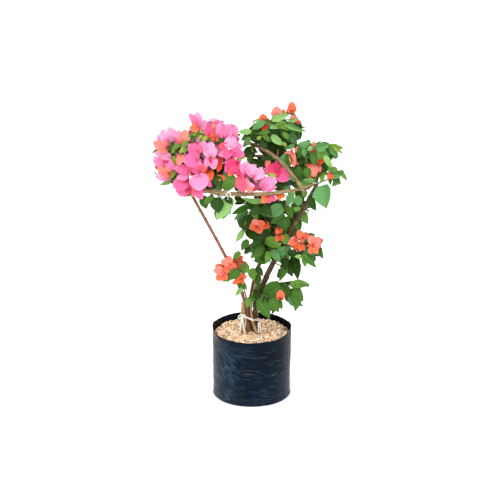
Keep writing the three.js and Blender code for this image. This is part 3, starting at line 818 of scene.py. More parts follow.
def taut_points(names, middle, axis, count, extra):
    """The outline of a taut loop round the limbs, in the plane through its middle."""
    axis = unit(np.array(axis, float))
    discs = []
    for name in names:
        part = LIMBS[name]
        stations = np.linspace(0, 1, FINE_STEPS + 1)
        points = part.line.at(stations)
        station = stations[np.argmin(np.abs((points - middle) @ axis))]
        discs.append((part.line.point(station), part.radius(station) / axis[2] + extra))
    across = squared(ACROSS, axis)
    outline = []
    for i in range(count):
        out = turned(across, axis, FULL_TURN * i / count)
        at, radius = max(discs, key=lambda disc: (disc[0] - middle) @ out + disc[1])
        outline.append(at + out * radius)
    return outline


FOOT_CANES = ["right_cane", "middle_cane", "left_cane", "cut_stub", "crossing_shoot"]
TIE_AXIS = (0.45, 0.05, 0.9)
TIE_LOOPS = [(-4, -4, 237), (-3, -4, 234.4)]
for i, middle in enumerate(TIE_LOOPS):
    axis = (TIE_AXIS[0] + 0.07 * (i - 1), TIE_AXIS[1] - 0.04 * i, TIE_AXIS[2])
    loop = through(taut_points(FOOT_CANES, np.array(middle, float), axis, 30, 1.3), closed=True)
    twine(f"foot tie {i + 1}", loop, ["base_tie"] if i == 0 else ())
STUB_FRONT = np.array([-28.0, -26.5, 244.0])
BOW = {
    "bow left loop": [(0, 0, 0), (-5, -2, 5), (-9, -4, 4), (-10, -5, -2), (-5, -4, -4), (0, -2, -1)],
    "bow right loop": [(0, 0, 0), (3, -3, 6), (7, -5, 7), (8, -5, 1), (4, -4, -2), (0, -2, -1)],
    "bow left end": [(0, -3, 0), (-2, -5, -12), (-4, -6, -28), (-7, -7, -47)],
    "bow right end": [(0, -3, 0), (2, -5, -12), (4, -7, -28), (8, -9, -48)],
}
loose_twine(STUB_FRONT, BOW, 2.4, 0.7)
knot = [(3.4 * math.cos(a * 2.4), -3 + 2 * math.sin(a * 1.7), 3.6 * math.sin(a * 2.4)) for a in range(9)]
loose_twine(STUB_FRONT, {"bow knot": knot}, 2.6, 1.6)
CANE_FRONT = np.array([20.0, -24.0, 226.0])
CANE_ENDS = {
    "cane tie left end": [(0, 0, 0), (-2, -3, -9), (-1, -4, -18), (-3, -5, -28)],
    "cane tie right end": [(3, 1, 0), (3, -2, -9), (4, -3, -18), (3, -4, -29)],
}
loose_twine(CANE_FRONT, CANE_ENDS, 2.0)


def ring_points(part, station, extra, tilt, count=16):
    axis = unit(part.line.along(station) + UP * tilt)
    across = any_square(axis)
    radius = part.radius(station) + extra
    ways = [turned(across, axis, FULL_TURN * i / count) for i in range(count)]
    return [part.line.point(station) + way * radius for way in ways]


front_hoop = LIMBS["hoop_front_left"]
for i, station in enumerate((0.96, 0.945, 0.975, 0.93)):
    ring = through(ring_points(front_hoop, station, 1.2 + 0.5 * (i % 2), 0.25 * (i - 1.5)), closed=True)
    twine(f"hoop tie {i + 1}", ring, ["hoop_tie"] if i == 0 else ())
TIE_FRONT = front_hoop.line.point(0.95) + np.array([0, -6, 0])
HOOP_TIE_ENDS = {
    "hoop tie long end": [(0, 0, 3), (2, -3, 7), (6, -4, 7), (9, -4, 2), (9, -5, -6)],
    "hoop tie short end": [(1, 0, -4), (2, -2, -8), (1, -3, -12), (3, -3, -15)],
}
loose_twine(TIE_FRONT, HOOP_TIE_ENDS)

# Leaves, bracts and flowers. Each is a small shape one unit long, its foot at the origin, its heading +Y and
# its face +Z.


def leaf_shape(fold, droop, wave, lean):
    columns = np.array([-1, -0.6, -0.04, 0.04, 0.6, 1])
    rows = np.array([0, 0.1, 0.12, 0.16, 0.25, 0.38, 0.52, 0.66, 0.8, 0.92, 1])

    def shape(u, v):
        across = np.interp(u, np.linspace(0, 1, len(columns)), columns)
        along = np.interp(v, np.linspace(0, 1, len(rows)), rows)
        t = np.clip((along - 0.1) / 0.9, 0, 1)
        width = 0.38 * t**0.4 * (1 - t * t) ** 1.2 / 0.56 + np.where(along < 0.11, 0.014, 0.004) * (along < 1)
        x = across * width + lean * t * t
        ripple = wave * np.sin(along * 17 + across) * np.abs(across) * (t > 0)
        y = along - 0.05 * np.abs(across) * np.exp(-((t - 0.05) / 0.1) ** 2)
        z = fold * (np.abs(across) ** 1.2) * width + ripple - droop * along**2
        return np.stack([x, y, z], 1)

    return template(5, 10, shape, lambda u, v: int(0.4 < u < 0.6))


LEAF_SHAPES = [
    leaf_shape(0.3, 0.10, 0.008, 0.0), leaf_shape(0.5, 0.22, 0.012, 0.05), leaf_shape(0.15, 0.16, 0.02, -0.05),
    leaf_shape(0.7, 0.05, 0.015, 0.03), leaf_shape(-0.1, 0.28, 0.02, -0.03),
]


def bract_shape(cup, curl, wave, turn):
    def shape(u, v):
        across = u * 2 - 1
        along = v
        width = 0.41 * (along + 0.004) ** 0.5 * (1.002 - along) ** 0.62 / 0.497
        x = across * width
        edge = np.abs(across) ** 1.5
        ripple = wave * np.sin(along * 11 + across * 2.5 + turn) * edge
        ripple = ripple + wave * 0.7 * np.sin(along * 6 + turn * 2) * across
        z = cup * (across * width) ** 2 + ripple - curl * along**2 + 0.1 * np.sin(along * 3.1)
        y = along - 0.06 * edge * np.exp(-((along - 0.03) / 0.12) ** 2)
        return np.stack([x, y, z], 1)

    return template(8, 9, shape, lambda u, v: 1 if v < 0.24 and 0.25 < u < 0.75 else 2 if v > 0.88 else 0)


BRACT_SHAPES = [
    bract_shape(1.1, 0.10, 0.03, 0.3), bract_shape(0.6, 0.22, 0.05, 1.4), bract_shape(1.6, 0.02, 0.04, 2.6),
    bract_shape(0.2, 0.3, 0.06, 4.0), bract_shape(0.9, -0.08, 0.05, 5.2),
]


def tube_flower_shape():
    """A slim tube that opens in a small star."""

    def shape(u, v):
        rows = np.array([(0, 0.05), (0.3, 0.07), (0.6, 0.05), (0.9, 0.075), (0.97, 0.3), (0.95, 0.03), (0.9, 0)])
        marks = np.linspace(0, 1, len(rows))
        lobed = 1 - 0.5 * (np.abs(((u * 5) % 1) - 0.5) * 2) * (np.interp(v, marks, rows[:, 1]) > 0.2)
        radius = np.interp(v, marks, rows[:, 1]) * lobed
        angle = u * FULL_TURN
        return np.stack([np.cos(angle) * radius, np.interp(v, marks, rows[:, 0]), -np.sin(angle) * radius], 1)

    return template(10, 6, shape, lambda u, v: int(v > 0.5))


# Leaf tints. deep and full are darker copies of the green for leaves in shade inside the bush, painted shade;
# pale is a light green that also stands for leaves lit at the front and top, painted light.
LEAF_COLOURS = {
    "deep": "26470c", "full": "3d671a", "mid": "5f8a32", "grey": "5b9152", "pale": "86b568", "young": "98ae42",
}
LEAF_RIBS = {"deep": "full", "full": "mid", "mid": "grey", "grey": "mid", "pale": "young", "young": "pale"}
# Bract tints. rose and crimson also stand for bracts in shade in the head, painted shade, and pale partly for
# bracts lit from above, painted light.
BRACT_COLOURS = {
    "pale": "f2a4ca", "soft": "f286b4", "pink": "f06498", "hot": "e84076", "crimson": "c62c4e", "rose": "e65470",
    "salmon": "f78a7c", "coral": "f4714f", "orange": "ee6632", "red": "cf3a1e",
}
BRACT_FEET_AND_RIMS = {
    "pale": ("soft", "pale"), "soft": ("pink", "pale"), "pink": ("hot", "soft"), "hot": ("crimson", "pink"),
    "crimson": ("crimson", "hot"), "rose": ("crimson", "rose"), "salmon": ("coral", "salmon"),
    "coral": ("red", "salmon"), "orange": ("red", "coral"), "red": ("red", "orange"),
}
LEAF_FINISHES = [blade_finish(f"{tint} leaf", code, 7, 0.36) for tint, code in LEAF_COLOURS.items()]
LEAF_ORDER = list(LEAF_COLOURS)
LEAF_TINTS = {tint: (LEAF_ORDER.index(tint), LEAF_ORDER.index(rib)) for tint, rib in LEAF_RIBS.items()}
BRACT_FINISHES = [
    blade_finish(f"{tint} bract", code, 9, 0.55, sheen_weight=0.2) for tint, code in BRACT_COLOURS.items()
]
BRACT_ORDER = list(BRACT_COLOURS)
BRACT_TINTS = {
    tint: tuple(BRACT_ORDER.index(shade) for shade in (tint, *others))
    for tint, others in BRACT_FEET_AND_RIMS.items()
}
FLOWER_FINISHES = [
    plain_finish("rosy flower tube", "d98a86", 800, 0.0003, roughness=0.6),
    plain_finish("cream flower star", "fbf6e4", 800, 0.0003, roughness=0.6),
]
TWIG_FINISHES = [BARKS["young"], bark_finish("green twig", "3f5a22", "5c7a30", "8a9a52")]

# Masses: name, centre, half sizes, twigs, leaf length, share of twigs that end in blossom, bract length,
# tints of its bracts and of its leaves

PINKS = {"pale": 5, "soft": 5, "pink": 4, "hot": 2, "salmon": 0.6}
CORALS = {"coral": 5, "orange": 3, "salmon": 3, "red": 0.5}
GREENS = {"deep": 2, "full": 4, "mid": 4, "grey": 3, "pale": 1.2}
SPRING = {"mid": 3, "full": 2, "young": 3, "pale": 2}
# Darker leaf tints for masses inside the bush, where shade falls: painted shade.
SHADE = {"deep": 4, "full": 4, "mid": 1}
MASSES = [
    ("blossom_left", (-214, -34, 730), (56, 52, 74), 12, 46, 1, 44, PINKS, GREENS),
    ("blossom_middle", (-155, -58, 762), (60, 66, 84), 15, 46, 1, 44, PINKS, SPRING),
    ("blossom_right", (-82, -28, 768), (58, 60, 58), 9, 46, 1, 44, PINKS, SPRING),
    ("blossom_low", (-176, -130, 678), (50, 36, 38), 7, 44, 1, 42, PINKS, SPRING),
    ("blossom_fold", (-92, -76, 706), (46, 42, 42), 7, 46, 0.8, 40, PINKS, GREENS),
    ("blossom_trail", (0, -98, 702), (74, 42, 44), 10, 44, 1, 42, PINKS, GREENS),
    ("blossom_back", (-100, 85, 740), (60, 56, 56), 7, 50, 0.8, 44, PINKS, GREENS),
    ("top_leaves", (62, 80, 764), (90, 60, 58), 15, 54, 0, 36, CORALS, GREENS),
    ("top_blossom", (98, 66, 822), (46, 38, 34), 6, 38, 0.5, 27, CORALS, SPRING),
    ("heart_leaves", (42, 60, 697), (68, 56, 42), 8, 54, 0, 38, CORALS, SHADE),
    ("middle_blossom", (72, -4, 674), (42, 38, 38), 6, 46, 0.5, 40, CORALS, SHADE),
    ("right_leaves", (176, 14, 718), (84, 68, 54), 15, 52, 0.08, 36, CORALS, GREENS),
    ("right_tip_leaves", (240, -58, 688), (46, 40, 40), 6, 48, 0, 34, CORALS, GREENS),
    ("right_hanging_leaves", (200, -76, 632), (36, 32, 44), 4, 56, 0, 38, CORALS, GREENS),
    ("under_hoop_right", (112, -60, 612), (52, 42, 42), 8, 52, 0, 38, CORALS, GREENS),
    ("under_hoop_middle", (34, -90, 612), (52, 42, 40), 8, 50, 0.1, 38, CORALS, SHADE),
    ("under_hoop_left", (-86, -106, 624), (66, 40, 48), 8, 52, 0, 38, CORALS, GREENS),
    ("centre_leaves", (46, -10, 530), (94, 56, 60), 15, 54, 0.05, 34, CORALS, SHADE),
    ("centre_leaves_low", (62, -18, 446), (84, 48, 50), 13, 54, 0, 36, CORALS, GREENS),
    ("right_blossom", (150, -40, 460), (52, 44, 46), 10, 46, 0.5, 34, CORALS, GREENS),
    ("middle_cane_leaves", (108, 34, 622), (42, 40, 42), 6, 54, 0, 38, CORALS, SHADE),
    ("right_cane_leaves", (154, -18, 556), (38, 40, 44), 6, 50, 0, 38, CORALS, GREENS),
    ("low_hanging_leaves", (98, -24, 390), (42, 38, 42), 7, 54, 0, 38, CORALS, SHADE),
    ("lower_left_blossom", (-56, -38, 392), (48, 42, 42), 9, 44, 0.55, 36, CORALS, GREENS),
    ("lower_middle_leaves", (8, -22, 366), (32, 32, 46), 6, 44, 0, 38, CORALS, GREENS),
    ("foot_leaves_front", (2, -46, 302), (28, 28, 32), 3, 40, 0, 38, CORALS, GREENS),
    ("foot_leaves_rear", (22, 44, 322), (34, 30, 50), 4, 48, 0, 38, CORALS, SHADE),
    ("lower_right_leaves", (52, -48, 308), (48, 42, 46), 9, 56, 0, 38, CORALS, GREENS),
    ("lower_right_tip_leaves", (120, -40, 324), (48, 42, 46), 9, 56, 0.1, 34, CORALS, GREENS),
    ("rear_leaves_top", (62, 148, 664), (64, 46, 54), 8, 54, 0.1, 36, CORALS, GREENS),
    ("rear_leaves_right", (156, 112, 640), (54, 48, 50), 8, 54, 0.1, 36, CORALS, GREENS),
    ("rear_leaves_low", (82, 58, 508), (58, 46, 66), 8, 54, 0, 36, CORALS, SHADE),
]

# Blooms and leaves that stand at the front of a mass. Their pixels in the photo were read. A bloom has the
# pixel that its bracts start from, and for each bract the pixel of its tip, its width as a share of its
# length and its tint. A leaf has the pixels of its foot and tip, its width and its tint. A row may end with its
# depth, as a share of the way from the middle of its mass to the front, and with millimetres ahead of that.

# Rose and crimson bracts here often stand for bracts in shade: painted shade.
BLOOMS_SEEN = {
    "blossom_middle": [
        (198, 128, [(197.5, 112.5, 0.66, "pale"), (189, 114, 0.5, "soft"), (205.5, 122, 0.8, "soft")]),
        (199, 127.5, [(189.5, 129.5, 0.9, "coral")], 0.9),
        (176, 141, [(169.5, 127.5, 0.8, "pale"), (181, 130.5, 0.7, "pale"), (180, 146, 0.9, "pink")]),
        (170, 143, [(162.5, 131, 0.7, "pale"), (171, 148, 0.7, "pink")]),
        (182, 144, [(186, 130, 0.85, "salmon"), (186, 141, 0.6, "pale"), (178, 139, 0.8, "hot")]),
        (202, 152, [(188, 146, 0.9, "pink"), (205, 142, 0.8, "soft"), (195, 143, 0.8, "hot"),
            (200, 150, 1, "flower")]),
        (199, 160, [(184, 162, 1, "pink"), (192, 154, 0.8, "soft"), (195, 170, 0.8, "soft")]),
        (211, 157, [(212, 164, 0.45, "crimson"), (212, 142, 0.9, "pale"), (218, 151, 0.7, "soft"),
            (206, 167, 0.8, "soft"), (215, 170, 0.9, "soft"), (206, 150, 0.7, "pale")]),
        (182, 155, [(179, 166, 0.7, "salmon"), (184, 162, 0.6, "salmon")]),
        (206, 172, [(200, 161, 0.6, "salmon"), (207, 162, 0.6, "hot"), (202, 168, 0.5, "rose")]),
    ],
    "blossom_left": [
        (169, 149, [(154, 143, 0.75, "salmon"), (158, 135, 0.7, "soft"), (166, 136, 0.5, "pink")]),
        (171, 158, [(155, 153, 0.6, "pale"), (174, 156, 0.5, "pale")]),
        (167, 162, [(154, 161, 0.9, "soft"), (178, 169, 0.8, "soft")]),
        (172, 174, [(158, 167, 0.6, "salmon"), (165, 163, 0.6, "salmon"), (176, 165, 0.7, "soft")]),
        (171, 177, [(156, 177, 0.55, "pale"), (158, 172, 0.4, "pink")]),
    ],
    "blossom_right": [
        (213, 140, [(214, 131, 0.8, "coral"), (206.5, 126, 0.7, "pink"), (204.5, 133, 0.6, "pink"),
            (219, 137, 0.6, "coral")]),
        (214, 133, [(214, 123, 0.6, "salmon"), (208, 125.5, 0.6, "soft")]),
        (224, 138, [(219, 124, 0.75, "soft"), (229, 124, 0.75, "soft"), (218, 131, 0.7, "pink"),
            (233, 132, 0.7, "soft")]),
        (231, 138, [(236.5, 127, 0.7, "soft"), (224, 129, 0.6, "pale")]),
        (231, 150, [(231, 136, 1, "pale"), (243, 146, 0.75, "soft"), (219, 146, 0.75, "rose"),
            (233, 148, 1, "flower")]),
        (231, 151, [(226, 160, 0.85, "pink"), (244.5, 156, 0.85, "pink"), (219, 156, 0.6, "soft"),
            (227, 147, 0.8, "flower")]),
        (215, 141, [(211, 139, 0.8, "orange"), (219, 139, 0.7, "coral")]),
    ],
    "blossom_low": [
        (190, 173, [(176, 168, 0.85, "pink"), (178, 179, 0.6, "soft"), (187, 165, 0.8, "pink"),
            (191.5, 174.5, 1.1, "flower")]),
        (200, 172, [(191, 169, 0.7, "pink"), (204, 163, 0.5, "rose")]),
        (206, 179, [(212, 187, 0.6, "pink")]),
        (196, 186, [(203.5, 199, 0.75, "pink"), (193, 197, 0.6, "salmon"),
            (205, 193, 0.6, "hot")], 0.62, -13),
        (190, 180, [(180, 196.5, 1.15, "pink"), (174, 188, 0.8, "pink"),
            (190, 195, 0.8, "hot")], 0.62, -35),
        (194, 178, [(199, 192, 0.9, "hot")], 0.35, -11),
        (199.5, 174.5, [(201, 190, 1.15, "soft")], 0.62, 5),
    ],
    "blossom_fold": [
        (208, 171, [(212, 180.5, 0.9, "orange"), (215, 175, 0.7, "red")]),
        (217, 177, [(226, 178, 0.7, "orange")]),
        (222, 157, [(219, 172, 0.45, "red"), (221, 166, 0.6, "hot")]),
    ],
    "blossom_trail": [
        (235, 168, [(229, 176, 0.7, "coral"), (238, 177, 0.6, "rose")]),
        (239, 163, [(225, 171, 0.95, "hot"), (225, 162, 0.7, "pink"), (242, 160, 0.8, "soft")]),
        (247, 173, [(246, 161, 0.8, "pale"), (256, 165, 0.8, "pale"), (240, 164, 0.8, "soft"),
            (238, 174, 0.7, "pink"), (248, 171, 0.6, "pink")]),
        (254, 177, [(265, 175, 0.95, "pale"), (262, 167, 0.7, "pale"), (257, 183, 0.6, "soft"),
            (245, 170, 0.6, "soft")]),
        (244, 179, [(256, 187, 0.4, "pale"), (250, 180, 0.6, "soft")]),
        (262, 188, [(276, 178, 0.85, "soft"), (277, 187, 0.6, "soft"), (265, 179, 0.9, "pale"),
            (258, 190, 0.8, "rose")]),
        (240, 176, [(238, 185, 0.6, "rose"), (245, 192, 0.6, "rose"), (236, 170, 0.6, "hot")]),
        (250, 184, [(249, 193, 0.8, "salmon"), (256, 191, 0.8, "crimson"), (243, 190, 0.6, "rose")]),
        (267, 193, [(270, 203, 1, "pink"), (262, 203, 0.8, "coral"), (276, 200, 0.8, "pink")]),
        (279, 193, [(285, 197, 0.8, "orange"), (279, 200, 0.8, "orange"), (274, 195, 0.6, "salmon")]),
    ],
    "middle_blossom": [
        (280, 171, [(265.5, 168, 0.9, "hot"), (275, 161, 0.8, "hot"), (279, 183.5, 0.8, "rose")]),
        (279, 172, [(290, 179, 1.1, "pink")]),
        (268.5, 161, [(266.5, 168.5, 0.65, "salmon")]),
        (278, 158, [(278, 149, 0.15, "salmon")]),
    ],
    "right_leaves": [
        (292, 153, [(294, 167.5, 0.5, "salmon"), (284, 153.5, 0.4, "salmon"),
            (290, 147.5, 0.5, "salmon"), (298, 166, 0.2, "salmon")]),
        (299, 147, [(294, 153, 0.6, "salmon"), (305, 147, 0.5, "salmon")]),
        (313, 149, [(313, 141.5, 0.75, "salmon"), (312.5, 154, 0.75, "orange")]),
        (316, 165, [(320, 172.5, 0.9, "salmon"), (325, 160, 0.6, "orange")], 0.35),
        (310.5, 164, [(315, 177.5, 0.75, "salmon"), (304, 164.5, 0.5, "orange")], 0.4),
    ],
    "right_tip_leaves": [
        (330.5, 173.5, [(326.5, 179, 0.9, "orange"), (331, 180, 0.8, "orange")], 0.95),
    ],
    "top_blossom": [
        (291, 112.5, [(291.5, 106.5, 1.3, "orange"), (291, 102, 0.85, "coral")]),
        (276, 117.5, [(275.5, 107, 1.1, "salmon")]),
        (263, 121, [(262.5, 114, 1.25, "coral"), (267, 118, 0.7, "coral")]),
        (293, 120, [(293, 115.5, 1.1, "salmon")]),
        (281, 112.5, [(285, 110, 0.6, "orange")]),
    ],
    "top_leaves": [
        (266, 124, [(265, 135, 0.55, "red"), (269, 129, 0.5, "red"), (259.5, 130, 0.4, "red")]),
    ],
    "centre_leaves": [
        (257, 226, [(249, 228, 1.2, "coral"), (254, 218.5, 1.1, "salmon"), (264.5, 221.5, 1.1, "coral"),
            (260, 234, 1.2, "coral")], 0.85),
        (266, 222, [(269, 228, 1, "orange"), (264, 229, 0.8, "orange")]),
        (279, 228, [(276, 234, 0.9, "orange"), (282, 233, 0.9, "orange")]),
        (279, 235, [(276, 241, 0.9, "orange"), (284, 241, 0.9, "orange")]),
    ],
    "right_blossom": [
        (296, 240, [(288, 244, 0.95, "coral"), (295, 249, 0.95, "orange"), (294, 236, 0.7, "coral")]),
        (303, 238, [(297, 230, 0.85, "coral"), (308, 233, 0.85, "coral"), (302, 243, 0.8, "coral")]),
        (301, 244, [(299, 251, 0.9, "orange"), (304, 250, 0.8, "orange")]),
        (313, 243, [(309, 235, 0.9, "salmon"), (319, 236, 0.95, "salmon"), (321, 247, 0.9, "salmon")]),
        (313, 246, [(309, 253, 0.9, "coral"), (317, 254, 0.9, "coral"), (306, 245, 0.5, "orange")]),
    ],
    "lower_left_blossom": [
        (230, 264, [(221, 261, 1, "salmon"), (228, 255, 0.9, "salmon"), (237, 269, 0.95, "coral"),
            (229, 272, 0.8, "coral")]),
        (224, 273, [(213, 270, 0.9, "salmon"), (216, 280, 0.9, "coral"), (228, 265, 0.9, "coral"),
            (227, 280, 0.8, "coral")]),
        (242, 278, [(237, 271, 0.85, "coral"), (247, 275, 0.8, "orange"), (232, 284, 0.5, "orange"),
            (243, 284, 0.7, "orange")]),
    ],
    "lower_right_leaves": [
        (279.5, 298.5, [(280, 289.5, 1.15, "coral"), (275, 297, 0.6, "coral"), (284, 299, 0.6, "red")]),
    ],
}
